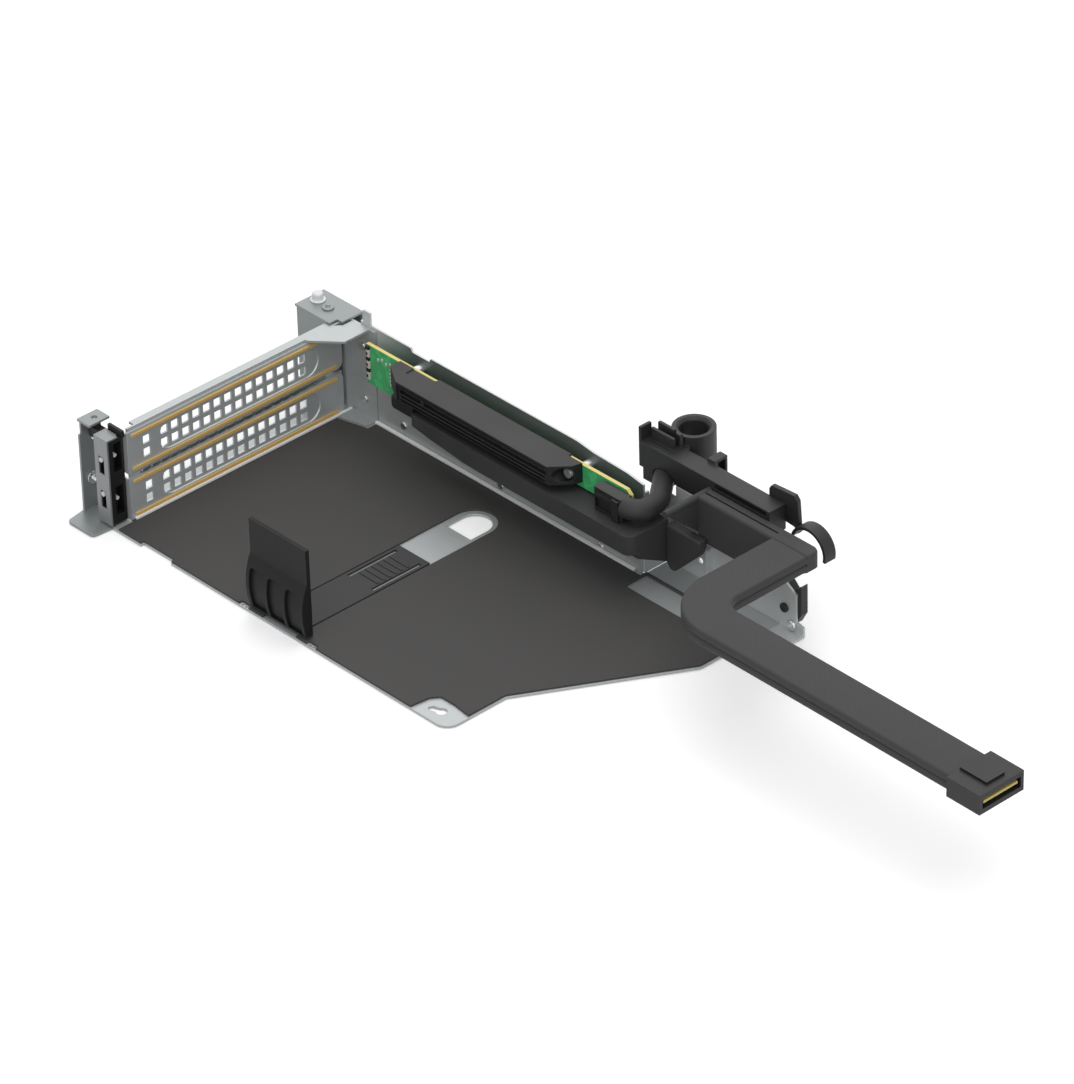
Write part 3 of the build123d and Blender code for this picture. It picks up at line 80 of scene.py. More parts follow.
@dataclass(frozen=True)
class Signal:
    """A shader value that takes part in ordinary arithmetic."""

    graph: "Graph"
    socket: Any

    def _join(self, operation: str, *others: Any) -> "Signal":
        """One Math node with this value first."""
        return self.graph.maths(operation, self, *others)

    def __add__(self, other: Any) -> "Signal":
        """Sum."""
        return self._join("ADD", other)

    def __radd__(self, other: Any) -> "Signal":
        """Sum with a plain number first."""
        return self._join("ADD", other)

    def __sub__(self, other: Any) -> "Signal":
        """Difference."""
        return self._join("SUBTRACT", other)

    def __rsub__(self, other: Any) -> "Signal":
        """Difference with a plain number first."""
        return self.graph.maths("SUBTRACT", other, self)

    def __mul__(self, other: Any) -> "Signal":
        """Product."""
        return self._join("MULTIPLY", other)

    def __rmul__(self, other: Any) -> "Signal":
        """Product with a plain number first."""
        return self._join("MULTIPLY", other)

    def __abs__(self) -> "Signal":
        """Distance from zero."""
        return self._join("ABSOLUTE")

    def __gt__(self, level: Any) -> "Signal":
        """1 where the value is over the level, else 0."""
        return self._join("GREATER_THAN", level)

    def wave(self, period: float) -> "Signal":
        """Sine of this value over a period, from 0 to 1."""
        return (self * (2 * math.pi / period))._join("SINE") * 0.5 + 0.5


class Graph:
    """Shader nodes of one material, round one Principled BSDF."""

    def __init__(self, name: str) -> None:
        """Makes an empty material.

        Args:
            name: The material's name.
        """
        self.material = bpy.data.materials.new(name)
        self.material.use_nodes = True
        self.tree = self.material.node_tree
        self.shader = self.tree.nodes["Principled BSDF"]
        self.place = self.node("ShaderNodeTexCoord", {}, "Object")

    def feed(self, socket: Any, value: Any) -> None:
        """Sets a socket to a constant, or links a Signal to it.

        Args:
            socket: The input socket.
            value: A number, a colour, a vector or a Signal.
        """
        if isinstance(value, Signal):
            self.tree.links.new(value.socket, socket)
        elif socket.type == "RGBA":
            socket.default_value = (*value, 1.0)
        else:
            socket.default_value = value

    def node(self, kind: str, inputs: dict[Any, Any], output: Any = 0, **settings: Any) -> Signal:
        """Adds any node.

        Args:
            kind: The node's class name.
            inputs: Socket name or number to a number, a colour or a Signal.
            output: Which output is read.
            settings: The node's own properties.

        Returns:
            The chosen output.
        """
        made = self.tree.nodes.new(kind)
        for key, value in settings.items():
            setattr(made, key, value)
        for key, value in inputs.items():
            self.feed(made.inputs[key], value)
        return Signal(self, made.outputs[output])

    def maths(self, operation: str, *values: Any) -> Signal:
        """One Math node.

        Args:
            operation: Blender's name for the operation.
            values: Numbers or Signals.

        Returns:
            The result.
        """
        return self.node("ShaderNodeMath", dict(enumerate(values)), operation=operation)

    def along(self, axis: Axis) -> Signal:
        """One coordinate in metres."""
        return self.node("ShaderNodeSeparateXYZ", {"Vector": self.place}, axis.value)

    def noise(self, size: float, detail: float = 3.0, stretch: Point = (1, 1, 1)) -> Signal:
        """Soft random pattern.

        Args:
            size: Width of one blot in metres.
            detail: Number of finer layers.
            stretch: Scale on each axis.

        Returns:
            A value from 0 to 1.
        """
        place = self.node("ShaderNodeMapping", {"Vector": self.place, "Scale": stretch})
        return self.node("ShaderNodeTexNoise", {"Vector": place, "Scale": 1 / size, "Detail": detail})

    def blend(self, amount: Any, first: Any, second: Any) -> Signal:
        """Colour between two colours."""
        return self.node("ShaderNodeMix", {0: amount, 6: first, 7: second}, 2, data_type="RGBA")

    def bump(self, height: Signal, depth: float, strength: float = 1.0) -> None:
        """Gives the surface a relief.

        Args:
            height: Relief from 0 to 1.
            depth: Its full depth in metres.
            strength: Share of the effect.
        """
        inputs = {"Height": height, "Distance": depth, "Strength": strength}
        self.set("Normal", self.node("ShaderNodeBump", inputs))

    def set(self, name: str, value: Any) -> None:
        """Sets or links one input of the Principled BSDF."""
        self.feed(self.shader.inputs[name], value)


@dataclass(frozen=True)
class PaintedLightZone:
    """Part of a piece where shade or light is painted into the colour, between two corners in millimetres: a
    tone under 1 paints shade, a tone over 1 paints a highlight.

    A facing keeps it to faces that look down that axis. It fades in over a length from its low X.
    """

    low: Point
    high: Point
    tone: float
    facing: Optional[Axis] = None
    fade: float = 0.1

    def paint_light_and_shade(self, graph: Graph) -> None:
        """Multiplies the material's colour inside the zone by the tone, which paints the zone's shade or
        highlight.

        Args:
            graph: The material, already painted.
        """
        inside = 1.0
        for axis, near, far in zip(Axis, self.low, self.high):
            place = graph.along(axis)
            inside = (place > near * MM) * (1.0 - (place > far * MM)) * inside
        start = graph.along(Axis.X) - self.low[0] * MM
        inside = inside * graph.maths("MINIMUM", start * (1 / (self.fade * MM)), 1.0)
        if self.facing:
            normal = graph.node("ShaderNodeNewGeometry", {}, 1)
            turned = graph.node("ShaderNodeSeparateXYZ", {"Vector": normal}, self.facing.value)
            inside = inside * (turned * -1.0 > 0.5)
        base = Signal(graph, graph.shader.inputs["Base Color"].links[0].from_socket)
        factors = {0: inside, 6: base, 7: (self.tone,) * 3}
        toned = graph.node("ShaderNodeMix", factors, 2, data_type="RGBA", blend_type="MULTIPLY")
        graph.set("Base Color", toned)


@dataclass(frozen=True)
class Finish:
    """Base of every finish: colour, gloss and a light unevenness."""

    name: str
    colour: Colour
    roughness: float = 0.45
    metallic: float = 0.0
    specular: float = 0.5
    # zone: painted shade or painted highlight on part of the piece, if any
    zone: Optional[PaintedLightZone] = None
    cloud: float = 0.008
    cloud_gloss: float = 0.08

    def shade(self, factor: float) -> Colour:
        """The finish's colour, lighter or darker by a factor."""
        return tuple(min(1.0, c * factor) for c in self.colour)

    def paint(self, graph: Graph) -> None:
        """Soft clouds in the gloss."""
        clouds = graph.noise(self.cloud, 2.0)
        graph.set("Roughness", clouds * self.cloud_gloss + (self.roughness - self.cloud_gloss / 2))

    def make(self) -> bpy.types.Material:
        """Builds the material."""
        graph = Graph(self.name)
        graph.set("Base Color", self.colour)
        graph.set("Metallic", self.metallic)
        graph.set("Specular IOR Level", self.specular)
        self.paint(graph)
        # Painted shade or painted highlight in the zone, over the finish's own colour.
        if self.zone:
            self.zone.paint_light_and_shade(graph)
        return graph.material


@dataclass(frozen=True)
class PlatedSheet(Finish):
    """Zinc-plated sheet metal with a faint rolled grain."""

    cloud: float = 0.03
    cloud_gloss: float = 0.16
    grain: float = 0.05
    streak: float = 0.0012
    stretch: Point = (0.06, 1.0, 1.0)
    relief: float = 0.00002
    relief_share: float = 0.25

    def paint(self, graph: Graph) -> None:
        """Rolled streaks in colour and gloss, and a fine relief."""
        streaks = graph.noise(self.streak, 4.0, self.stretch)
        clouds = graph.noise(self.cloud, 2.0)
        tone = streaks * 0.5 + clouds * 0.5
        dark, light = self.shade(1 - 2 * self.grain), self.shade(1 + 2 * self.grain)
        graph.set("Base Color", graph.blend(tone, dark, light))
        graph.set("Roughness", tone * self.cloud_gloss + (self.roughness - self.cloud_gloss / 2))
        graph.bump(streaks, self.relief, self.relief_share)


@dataclass(frozen=True)
class Grained(Finish):
    """Moulded plastic or film with a fine, even grain."""

    cloud: float = 0.02
    cloud_gloss: float = 0.12
    cloud_tone: float = 0.06
    size: float = 0.0004
    relief: float = 0.00003
    relief_share: float = 0.3

    def paint(self, graph: Graph) -> None:
        """Very fine dimples, and soft clouds in tone and gloss."""
        clouds = graph.noise(self.cloud, 2.0)
        dark, light = self.shade(1 - self.cloud_tone), self.shade(1 + self.cloud_tone)
        graph.set("Base Color", graph.blend(clouds, dark, light))
        graph.set("Roughness", clouds * self.cloud_gloss + (self.roughness - self.cloud_gloss / 2))
        graph.bump(graph.noise(self.size, 2.0), self.relief, self.relief_share)


@dataclass(frozen=True)
class WovenSleeve(Finish):
    """Tightly woven sleeve over flat cable."""

    pitch: float = 0.0009
    valley: float = 0.85
    crown: float = 1.4
    relief: float = 0.0001
    relief_share: float = 0.4

    def paint(self, graph: Graph) -> None:
        """Over-and-under weave from two slanted waves."""
        x, y, z = (graph.along(axis) for axis in Axis)
        weave = (x + y + z).wave(self.pitch) * (x - y + z).wave(self.pitch)
        graph.set("Base Color", graph.blend(weave, self.shade(self.valley), self.shade(self.crown)))
        graph.set("Roughness", self.roughness)
        graph.bump(weave, self.relief, self.relief_share)


@dataclass(frozen=True)
class LacqueredBoard(Finish):
    """Circuit board: lacquer over faint copper, with pale edges."""

    edge: Colour = (0.72, 0.58, 0.17)
    edge_limit: float = 0.7
    copper_size: float = 0.004
    copper_level: float = 0.55
    copper_tone: float = 1.25

    def paint(self, graph: Graph) -> None:
        """Laminate where the face points up, down or sideways, lacquer elsewhere."""
        normal = graph.node("ShaderNodeNewGeometry", {}, 1)
        facing = graph.node("ShaderNodeSeparateXYZ", {"Vector": normal}, 1)
        side = 1.0 - (abs(facing) > self.edge_limit)
        copper = graph.noise(self.copper_size, 1.0) > self.copper_level
        lacquer = graph.blend(copper, self.colour, self.shade(self.copper_tone))
        graph.set("Base Color", graph.blend(side, lacquer, self.edge))
        graph.set("Roughness", self.roughness)


FINISHES = (
    PlatedSheet("plated_steel", (0.44, 0.463, 0.466), 0.42, 0.35),
    # Side wall steel; its zone paints shade (0.25 times as bright) on the inner face above the board, fading
    # in from x = 14 mm.
    PlatedSheet("wall_steel", (0.58, 0.6, 0.603), 0.42, 0.3,
                zone=PaintedLightZone((14.0, 100.0, 27.0), (170.0, 112.0, 60.0), 0.25, Axis.Y, fade=22.0)),
    # Plated steel darkened to about 0.6 times its colour, a painted shade for the guide box and the latch
    # post.
    PlatedSheet("bracket_steel", (0.26, 0.281, 0.284), 0.42, 0.35),
    # Near-white matte steel: a painted highlight for bent edges along the floor.
    PlatedSheet("bright_fold", (0.93, 0.94, 0.94), 0.4, 0.0),
    PlatedSheet("filler_steel", (0.5, 0.525, 0.53), 0.45, 0.45, stretch=(1.0, 0.06, 1.0)),
    PlatedSheet("latch_steel", (0.27, 0.28, 0.284), 0.45, 0.45, stretch=(1.0, 1.0, 0.06)),
    Finish("spring_steel", (0.5, 0.51, 0.5), 0.3, 1.0),
    Finish("fastener", (0.62, 0.63, 0.63), 0.28, 1.0),
    Grained("gasket", (0.79, 0.52, 0.17), 0.5, 0.3),
    Grained("insulator", (0.06, 0.058, 0.057), 0.7, specular=0.25),
    Grained("black_plastic", (0.019, 0.019, 0.02), 0.5, specular=0.35),
    Grained("latch_plastic", (0.006, 0.006, 0.006), 0.5, specular=0.3),
    # Card support plastic; its zone paints a highlight, 4.8 times as bright, on the flat tongue below z = 2.9
    # mm.
    Grained("support_plastic", (0.01, 0.01, 0.0105), 0.6, specular=0.2,
            zone=PaintedLightZone((70.0, -20.0, -5.0), (110.0, 70.0, 2.9), 4.8)),
    Grained("pale_plastic", (0.75, 0.76, 0.77), 0.45),
    Grained("connector_plastic", (0.013, 0.013, 0.014), 0.48, specular=0.35),
    LacqueredBoard("circuit_board", (0.058, 0.43, 0.15), 0.4),
    Finish("chip", (0.62, 0.6, 0.56), 0.5),
    Finish("contact", (0.83, 0.62, 0.27), 0.28, 1.0),
    Finish("cable_jacket", (0.026, 0.026, 0.027), 0.55, specular=0.35),
    WovenSleeve("cable_sleeve", (0.036, 0.036, 0.037), 0.62, specular=0.35),
)


class Palette:
    """Materials by name, each made once."""

    def __init__(self, finishes: Sequence[Finish]) -> None:
        """Builds every finish's material.

        Args:
            finishes: The finishes, most of them named as the record's slots.
        """
        self.materials = {finish.name: finish.make() for finish in finishes}
        self.slots = {part["node"]: part["material_slot"] for part in frame["record"]["subparts"]}

    def apply(self, piece: bpy.types.Object, finish: str) -> None:
        """Gives one piece one finish."""
        piece.data.materials.clear()
        piece.data.materials.append(self.materials[finish])


class Bench:
    """Modelling by operators, on one piece at a time."""

    @staticmethod
    def select_only(piece: bpy.types.Object) -> None:
        """Makes one piece the only selected and the active one."""
        bpy.ops.object.select_all(action="DESELECT")
        piece.select_set(True)
        bpy.context.view_layer.objects.active = piece

    @staticmethod
    def break_edges(piece: bpy.types.Object, width: float, clamp: bool = True) -> None:
        """Rounds every sharp edge of a closed mesh and keeps its flat faces flat in shade.

        Args:
            piece: The piece to work on.
            width: Width of the rounding in millimetres.
            clamp: Whether neighbouring roundings stop where they meet.
        """
        Bench.select_only(piece)
        bpy.ops.object.mode_set(mode="EDIT")
        bpy.ops.mesh.select_mode(type="EDGE")
        bpy.ops.mesh.select_all(action="DESELECT")
        bpy.ops.mesh.edges_select_sharp(sharpness=SHARP_ANGLE)
        bpy.ops.mesh.bevel(
            offset=width * MM, segments=EDGE_STEPS, profile=0.5, affect="EDGES", clamp_overlap=clamp)
        bpy.ops.object.mode_set(mode="OBJECT")
        bpy.ops.object.shade_smooth_by_angle(angle=SMOOTH_ANGLE)
        bpy.ops.object.modifier_add(type="WEIGHTED_NORMAL")
        modifier = piece.modifiers[-1]
        modifier.keep_sharp = True
        bpy.ops.object.modifier_apply(modifier=modifier.name)

    @staticmethod
    def copy_node(node: str) -> bpy.types.Object:
        """Copies a CAD node's mesh into a piece of its own and merges it.

        Args:
            node: The node's name.

        Returns:
            The copy, with whole flat faces in place of triangles.
        """
        piece = bpy.data.objects.new(f"{node}_finished", frame["nodes"][node].data.copy())
        bpy.context.scene.collection.objects.link(piece)
        Bench.select_only(piece)
        bpy.ops.object.mode_set(mode="EDIT")
        bpy.ops.mesh.select_mode(type="EDGE")
        bpy.ops.mesh.select_all(action="SELECT")
        bpy.ops.mesh.remove_doubles(threshold=MERGE_DISTANCE)
        bpy.ops.mesh.dissolve_limited(angle_limit=FLAT_ANGLE)
        bpy.ops.object.mode_set(mode="OBJECT")
        return piece

    @staticmethod
    def box(name: str, low: Point, high: Point, edge: float) -> bpy.types.Object:
        """A small block between two corners, its edges broken.

        Args:
            name: The piece's name.
            low: Lowest corner in millimetres.
            high: Highest corner in millimetres.
            edge: Width of the broken edges in millimetres.

        Returns:
            The block, with its place in its mesh.
        """
        near, far = Vector(low) * MM, Vector(high) * MM
        bpy.ops.object.select_all(action="DESELECT")
        bpy.ops.mesh.primitive_cube_add(size=1, location=(near + far) / 2, scale=far - near)
        piece = bpy.context.object
        piece.name = name
        bpy.ops.object.transform_apply(location=True, rotation=True, scale=True)
        Bench.break_edges(piece, edge)
        return piece

    @staticmethod
    def repeat(piece: bpy.types.Object, steps: Sequence[Point]) -> list[bpy.types.Object]:
        """Copies a finished piece to more places, each copy with its own mesh.

        Args:
            piece: The piece, in its first place.
            steps: Shift of each copy in millimetres.

        Returns:
            The piece and its copies.
        """
        made = [piece]
        for step in steps:
            copy = bpy.data.objects.new(piece.name, piece.data.copy())
            copy.data.transform(Matrix.Translation(Vector(step) * MM))
            bpy.context.scene.collection.objects.link(copy)
            made.append(copy)
        return made

    @staticmethod
    def join(name: str, pieces: Sequence[bpy.types.Object]) -> bpy.types.Object:
        """Makes one piece of several.

        Args:
            name: The joined piece's name.
            pieces: The pieces to join.

        Returns:
            The joined piece.
        """
        bpy.ops.object.select_all(action="DESELECT")
        for piece in pieces:
            piece.select_set(True)
        bpy.context.view_layer.objects.active = pieces[0]
        bpy.ops.object.join()
        joined = bpy.context.object
        joined.name = name
        return joined


@dataclass(frozen=True)
class Node:
    """A CAD node that is carried over, and how its edges are broken."""

    name: str
    edge: float = 0.2
    clamp: bool = True
    finish: Optional[str] = None


@dataclass(frozen=True)
class SubAssembly:
    """Base of the sub-assemblies: their nodes and the body that they ride on."""

    palette: Palette
    body: str = "cage"
    rounded: tuple[Node, ...] = ()
    plain: tuple[str, ...] = ()

    def declare(self, piece: bpy.types.Object, slot: str, finish: Optional[str] = None) -> None:
        """Dresses a piece and puts it on its body.

        Args:
            piece: The piece, in its place.
            slot: The record's material slot.
            finish: Its finish, where that isn't the slot's own.
        """
        self.palette.apply(piece, finish or slot)
        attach(piece, self.body)
        log.info("%s: %d faces", piece.name, len(piece.data.polygons))

    def build(self) -> None:
        """Makes the pieces that stand for nodes."""
        for node in self.rounded:
            piece = Bench.copy_node(node.name)
            Bench.break_edges(piece, node.edge, node.clamp)
            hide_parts(node.name)
            self.declare(piece, self.palette.slots[node.name], node.finish)

    def dress(self) -> None:
        """Gives the nodes that stay as they are their finishes."""
        for node in self.plain:
            self.palette.apply(frame["nodes"][node], self.palette.slots[node])
            log.info("%s: carried over", node)


@dataclass(frozen=True)
class SheetCage(SubAssembly):
    """Folded sheet-metal pieces, the film on the floor and the fasteners."""

    rounded: tuple[Node, ...] = (
        Node("slot_frame", 0.18), Node("floor_tray", 0.18, False),
        # The side wall's steel carries painted shade above the board.
        Node("side_wall", 0.18, finish="wall_steel"),
        # The guide box and the latch post take plated steel darkened as painted shade.
        Node("guide_box", 0.25, finish="bracket_steel"), Node("latch_post", 0.22, finish="bracket_steel"),
        Node("insulator_sheet", 0.2), Node("guide_screw", 0.1, finish="latch_steel"),
        Node("panel_screw", 0.1), Node("panel_button", 0.3), Node("post_rivet", 0.2),
        Node("locating_pin", 0.2, finish="pale_plastic"),
    )
    plain: tuple[str, ...] = ("wall_rivets", "frame_rivets")
    foot_low: Point = (14.0, 107.4, 1.0)
    foot_high: Point = (158.0, 108.9, 2.5)
    lip_low: Point = (0.05, -1.5, 2.0)
    lip_high: Point = (1.15, 107.5, 3.1)
    strip_edge: float = 0.2

    def build(self) -> None:
        """Makes the nodes' pieces, and the wall's foot and the lip under the lower filler in near-white
        steel, a painted highlight for their bends.
        """
        super().build()
        foot = Bench.box("wall_foot", self.foot_low, self.foot_high, self.strip_edge)
        lip = Bench.box("frame_lip", self.lip_low, self.lip_high, self.strip_edge)
        # The foot and the lip get near-white matte steel as a painted highlight of their bends.
        for piece in (foot, lip):
            self.declare(piece, "plated_steel", "bright_fold")


@dataclass(frozen=True)
class SlotFillers(SubAssembly):
    """Perforated fillers, their golden strips and the spring comb between them."""

    rounded: tuple[Node, ...] = (Node("filler_lower", 0.12), Node("filler_upper", 0.12))
    plain: tuple[str, ...] = ("gasket_lower", "gasket_upper", "grounding_springs")


@dataclass(frozen=True)
class CardLatch(SubAssembly):
    """Swinging card latch."""

    body: str = "latch"
    rounded: tuple[Node, ...] = (
        Node("latch_body", 0.2, False, "latch_plastic"), Node("latch_cover", 0.2, finish="latch_steel"),
    )
    plain: tuple[str, ...] = ("latch_pegs",)


@dataclass(frozen=True)
class RiserBoard(SubAssembly):
    """Riser board, its connectors and its small parts."""

    rounded: tuple[Node, ...] = (
        Node("slot_guard", 0.3), Node("slot_housing", 0.2), Node("board_plugs", 0.2), Node("side_plug", 0.25),
        Node("guard_screw", 0.15, finish="latch_steel"), Node("board_chips", 0.12),
    )
    plain: tuple[str, ...] = (
        "riser_board", "board_standoffs", "board_screws", "slot_contacts", "side_header", "latch_hinge_pin",
    )
    part_low: Point = (15.9, 102.6, 28.45)
    part_high: Point = (17.7, 103.38, 30.1)
    eye_low: Point = (16.4, 102.3, 26.2)
    eye_high: Point = (17.1, 102.62, 27.4)
    row_pitch: float = 5.0
    bead_low: Point = (29.2, 102.9, 27.4)
    bead_high: Point = (30.1, 103.38, 28.3)
    bead_pitch: float = 1.7
    beads: int = 6
    part_edge: float = 0.12

    def build(self) -> None:
        """Makes the nodes' pieces and the smallest parts on the board's left end."""
        super().build()
        rows = [(0, 0, self.row_pitch), (0, 0, 2 * self.row_pitch)]
        part = Bench.box("board_dark_parts", self.part_low, self.part_high, self.part_edge)
        dark = Bench.repeat(part, rows)
        eye = Bench.box("board_eyes", self.eye_low, self.eye_high, self.part_edge)
        dark += Bench.repeat(eye, rows)
        self.declare(Bench.join("board_dark_parts", dark), "connector_plastic")
        steps = [(0, 0, i * self.bead_pitch) for i in range(1, self.beads)]
        bead = Bench.box("board_beads", self.bead_low, self.bead_high, self.part_edge)
        pale = Bench.repeat(bead, steps)
        self.declare(Bench.join("board_beads", pale), "chip")


@dataclass(frozen=True)
class CableHolder(SubAssembly):
    """Plastic holder behind the wall with its hook and the clip on the wall's edge."""

    rounded: tuple[Node, ...] = (
        Node("cable_holder", 0.3, False), Node("cable_hook", 0.25, False), Node("edge_clip", 0.3),
    )


@dataclass(frozen=True)
class CardSupport(SubAssembly):
    """Sliding card support."""

    body: str = "support"
    # The support's plastic carries a painted highlight on its flat tongue.
    rounded: tuple[Node, ...] = (Node("card_support", 0.1, True, "support_plastic"),)


@dataclass(frozen=True)
class HeldCables(SubAssembly):
    """Flat cable along the wall with its folds, and the round cable beside it."""

    rounded: tuple[Node, ...] = (
        Node("flat_sleeve", 0.9), Node("sleeve_fold", 0.9), Node("sleeve_standing", 0.4),
    )
    plain: tuple[str, ...] = ("side_cable", "loom_elbow", "loom_plug", "loom_paddle")


@dataclass(frozen=True)
class FreeLoom(SubAssembly):
    """The free run of the flat cable, two sleeves on top of each other."""

    route: tuple[Point, ...] = ((251.2, 63.7, 40.9), (314.0, 63.7, 40.9), (374.0, 63.7, 40.2))
    width: float = 18.8
    thickness: float = 6.8
    layer: float = 3.5
    edge: float = 1.2
    edge_steps: int = 4
    stations: int = 24
    stub: float = 1.0
    least_step: float = 0.5
    along: float = 0.9

    def _line(self) -> list[Vector]:
        """Points along the route's own smooth curve, in metres."""
        curve = bpy.data.curves.new("loom_route", "CURVE")
        curve.dimensions = "3D"
        curve.resolution_u = self.stations
        spline = curve.splines.new("NURBS")
        spline.points.add(len(self.route) - 1)
        for point, place in zip(spline.points, self.route):
            point.co = (*(Vector(place) * MM), 1.0)
        spline.order_u = 3
        spline.use_endpoint_u = True
        holder = bpy.data.objects.new("loom_route", curve)
        points = [vertex.co.copy() for vertex in bpy.data.meshes.new_from_object(holder).vertices]
        bpy.data.objects.remove(holder)
        return points

    def _sleeve(self, line: Sequence[Vector], level: float) -> bpy.types.Object:
        """One layer of the flat cable, pulled out of a box along the line.

        Args:
            line: Points along the middle of the cable, in metres.
            level: Height of the layer's middle over the line in millimetres.

        Returns:
            The layer.
        """
        start = line[0]
        size = Vector((self.stub, self.width, self.layer)) * MM
        middle = start + Vector((self.stub / 2, 0, level)) * MM
        bpy.ops.object.select_all(action="DESELECT")
        bpy.ops.mesh.primitive_cube_add(size=1, location=middle, scale=size)
        piece = bpy.context.object
        bpy.ops.object.transform_apply(location=True, rotation=True, scale=True)
        end = start.x + size.x
        bpy.ops.object.mode_set(mode="EDIT")
        bpy.ops.mesh.select_mode(type="FACE")
        bpy.ops.mesh.select_all(action="DESELECT")
        bpy.ops.object.mode_set(mode="OBJECT")
        for face in piece.data.polygons:
            face.select = face.normal.x > self.along
        bpy.ops.object.mode_set(mode="EDIT")
        place = Vector((end, start.y, start.z))
        for point in line[1:]:
            if point.x <= place.x + self.least_step * MM:
                continue
            bpy.ops.mesh.extrude_region_move(TRANSFORM_OT_translate={"value": point - place})
            place = point
        bpy.ops.mesh.select_mode(type="EDGE")
        bpy.ops.mesh.select_all(action="DESELECT")
        bpy.ops.object.mode_set(mode="OBJECT")
        for edge in piece.data.edges:
            a, b = (piece.data.vertices[i].co for i in edge.vertices)
            edge.select = abs((b - a).normalized().x) > self.along
        bpy.ops.object.mode_set(mode="EDIT")
        bpy.ops.mesh.bevel(
            offset=self.edge * MM, segments=self.edge_steps, profile=0.5, affect="EDGES", clamp_overlap=True)
        bpy.ops.object.mode_set(mode="OBJECT")
        return piece

    def build(self) -> None:
        line = self._line()
        shift = (self.thickness - self.layer) / 2
        piece = Bench.join("free_loom", [self._sleeve(line, side * shift) for side in (-1, 1)])
        Bench.select_only(piece)
        bpy.ops.object.shade_smooth_by_angle(angle=SMOOTH_ANGLE)
        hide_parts("signal_loom")
        self.declare(piece, "cable_sleeve")


@dataclass(frozen=True)
class Camera:
    """The photograph's camera, fitted to the slot fillers."""

    place: Point = (1.76571, -1.38716, 1.47562)
    azimuth: float = 48.01
    elevation: float = 33.63
    roll: float = -1.71
    lens: float = 235.8
    sensor: float = 36.0
    reach: float = 20.0

    def build(self) -> None:
        """Adds the camera and makes it the scene's own."""
        data = bpy.data.cameras.new("photo_camera")
        data.lens = self.lens
        data.sensor_width = self.sensor
        data.clip_end = self.reach
        camera = bpy.data.objects.new("photo_camera", data)
        bpy.context.scene.collection.objects.link(camera)
        turn = Matrix.Rotation(math.radians(self.azimuth), 4, "Z")
        tilt = Matrix.Rotation(math.radians(90 - self.elevation), 4, "X")
        roll = Matrix.Rotation(math.radians(self.roll), 4, "Z")
        camera.matrix_world = Matrix.Translation(self.place) @ turn @ tilt @ roll
        bpy.context.scene.camera = camera


@dataclass(frozen=True)
class SoftLight:
    """One area light that points at the cage."""

    name: str
    place: Point
    size: float
    power: float

    def build(self, target: Vector) -> None:
        """Adds the light.

        Args:
            target: The point that it faces.
        """
        data = bpy.data.lights.new(self.name, "AREA")
        data.size = self.size
        data.energy = self.power
        light = bpy.data.objects.new(self.name, data)
        light.location = self.place
        light.rotation_euler = (target - Vector(self.place)).to_track_quat("-Z", "Y").to_euler()
        bpy.context.scene.collection.objects.link(light)


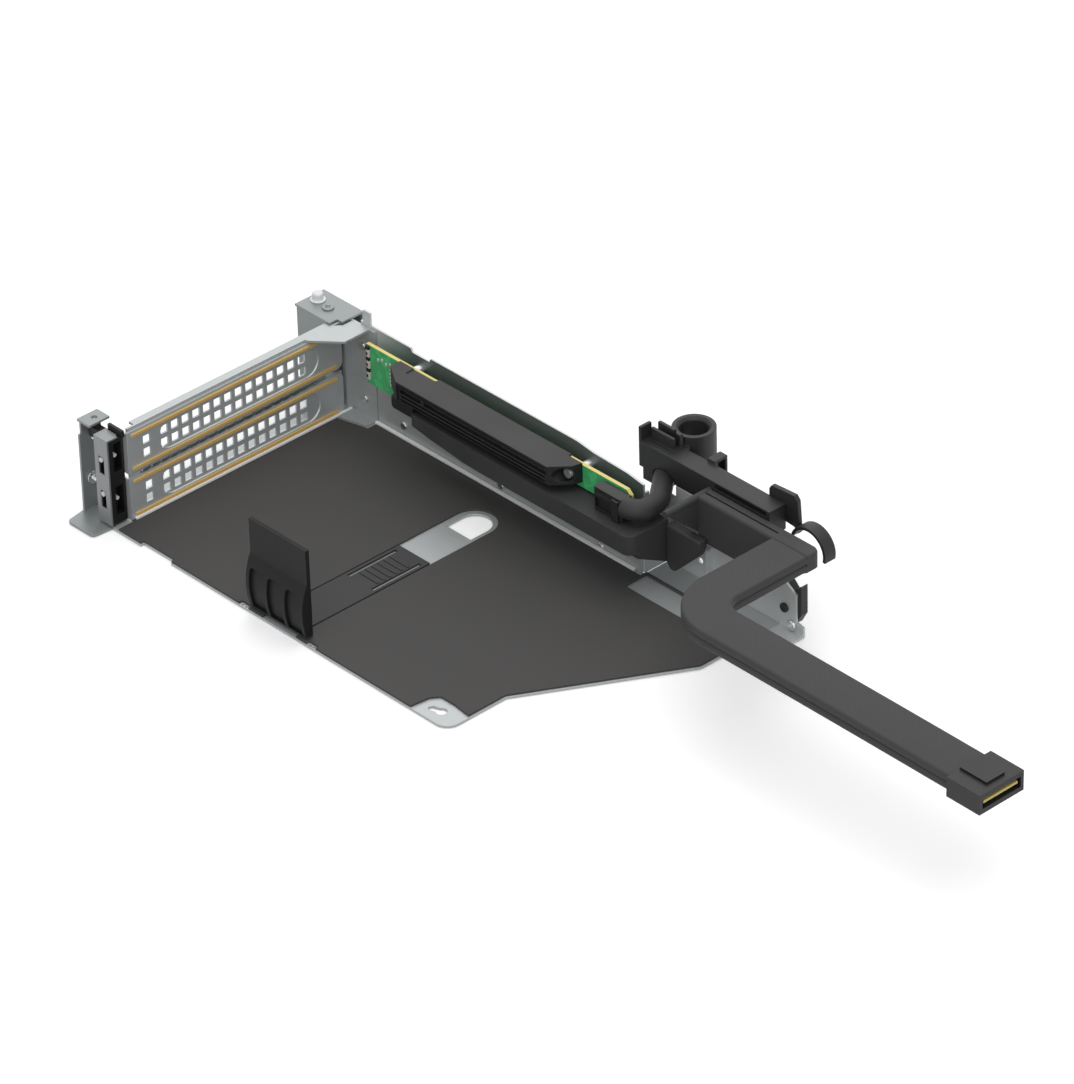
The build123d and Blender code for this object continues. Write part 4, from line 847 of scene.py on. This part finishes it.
@dataclass(frozen=True)
class Studio:
    """White surroundings, a pale floor and soft lights."""

    floor_size: float = 6.0
    floor_middle: tuple[float, float] = (0.18, 0.05)
    floor_drop: float = 0.0003
    floor_seen: Colour = (0.9, 0.9, 0.9)
    floor_glow: float = 0.25
    floor_bounce: Colour = (0.4, 0.4, 0.4)
    surround: float = 0.46
    lights: tuple[SoftLight, ...] = (
        SoftLight("top", (0.35, 0.1, 2.2), 2.6, 27.0),
        SoftLight("back", (-0.95, 1.1, 1.15), 1.4, 6.0),
        SoftLight("front", (1.2, -1.2, 0.9), 1.4, 8.0),
    )

    @staticmethod
    def _seen(tree: Any, seen: Any, other: Any, target: Any) -> None:
        """Shows one shader to camera, glossy and transmission rays, and another to the rest.

        Args:
            tree: The node tree.
            seen: The shader that is seen.
            other: The shader that lights the object.
            target: The socket that takes the result.
        """
        path = tree.nodes.new("ShaderNodeLightPath")
        most = path.outputs["Is Camera Ray"]
        for name in ("Is Glossy Ray", "Is Transmission Ray"):
            either = tree.nodes.new("ShaderNodeMath")
            either.operation = "MAXIMUM"
            tree.links.new(most, either.inputs[0])
            tree.links.new(path.outputs[name], either.inputs[1])
            most = either.outputs[0]
        mix = tree.nodes.new("ShaderNodeMixShader")
        for socket, value in zip(mix.inputs, (most, other.outputs[0], seen.outputs[0])):
            tree.links.new(value, socket)
        tree.links.new(mix.outputs[0], target)

    def _build_world(self) -> None:
        """White world, dimmer as a light than it looks."""
        world = bpy.data.worlds.new("studio")
        bpy.context.scene.world = world
        world.use_nodes = True
        tree = world.node_tree
        shade = tree.nodes["Background"]
        shade.inputs["Color"].default_value = (1, 1, 1, 1)
        shade.inputs["Strength"].default_value = self.surround
        white = tree.nodes.new("ShaderNodeBackground")
        white.inputs["Color"].default_value = (1, 1, 1, 1)
        self._seen(tree, white, shade, tree.nodes["World Output"].inputs["Surface"])

    def _build_floor(self) -> None:
        """Plain pale floor just under the cage."""
        bpy.ops.object.select_all(action="DESELECT")
        place = (*self.floor_middle, -self.floor_drop)
        bpy.ops.mesh.primitive_plane_add(size=self.floor_size, location=place)
        floor = bpy.context.object
        floor.name = "studio_floor"
        graph = Graph("studio_floor")
        graph.set("Base Color", self.floor_seen)
        graph.set("Roughness", 0.9)
        graph.set("Specular IOR Level", 0.1)
        graph.set("Emission Color", (1.0, 1.0, 1.0))
        graph.set("Emission Strength", self.floor_glow)
        dim = graph.tree.nodes.new("ShaderNodeBsdfDiffuse")
        dim.inputs["Color"].default_value = (*self.floor_bounce, 1.0)
        self._seen(graph.tree, graph.shader, dim, graph.tree.nodes["Material Output"].inputs["Surface"])
        floor.data.materials.append(graph.material)
        floor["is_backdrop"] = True

    def build(self) -> None:
        """Adds the world, the floor and the lights."""
        self._build_world()
        self._build_floor()
        low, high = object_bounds()
        target = (Vector(low) + Vector(high)) / 2
        for light in self.lights:
            light.build(target)
        bpy.context.scene.view_settings.view_transform = "Standard"


def main() -> None:
    """Builds the camera, the cord, the sub-assemblies and the studio, in that order."""
    logging.basicConfig(level=logging.INFO, format="%(name)s: %(message)s")
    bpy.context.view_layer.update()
    Camera().build()
    palette = Palette(FINISHES)
    FreeLoom(palette).build()
    for kind in (SheetCage, SlotFillers, CardLatch, RiserBoard, CableHolder, CardSupport, HeldCables):
        assembly = kind(palette)
        assembly.build()
        assembly.dress()
    Studio().build()


if __name__ == "__main__":
    main()
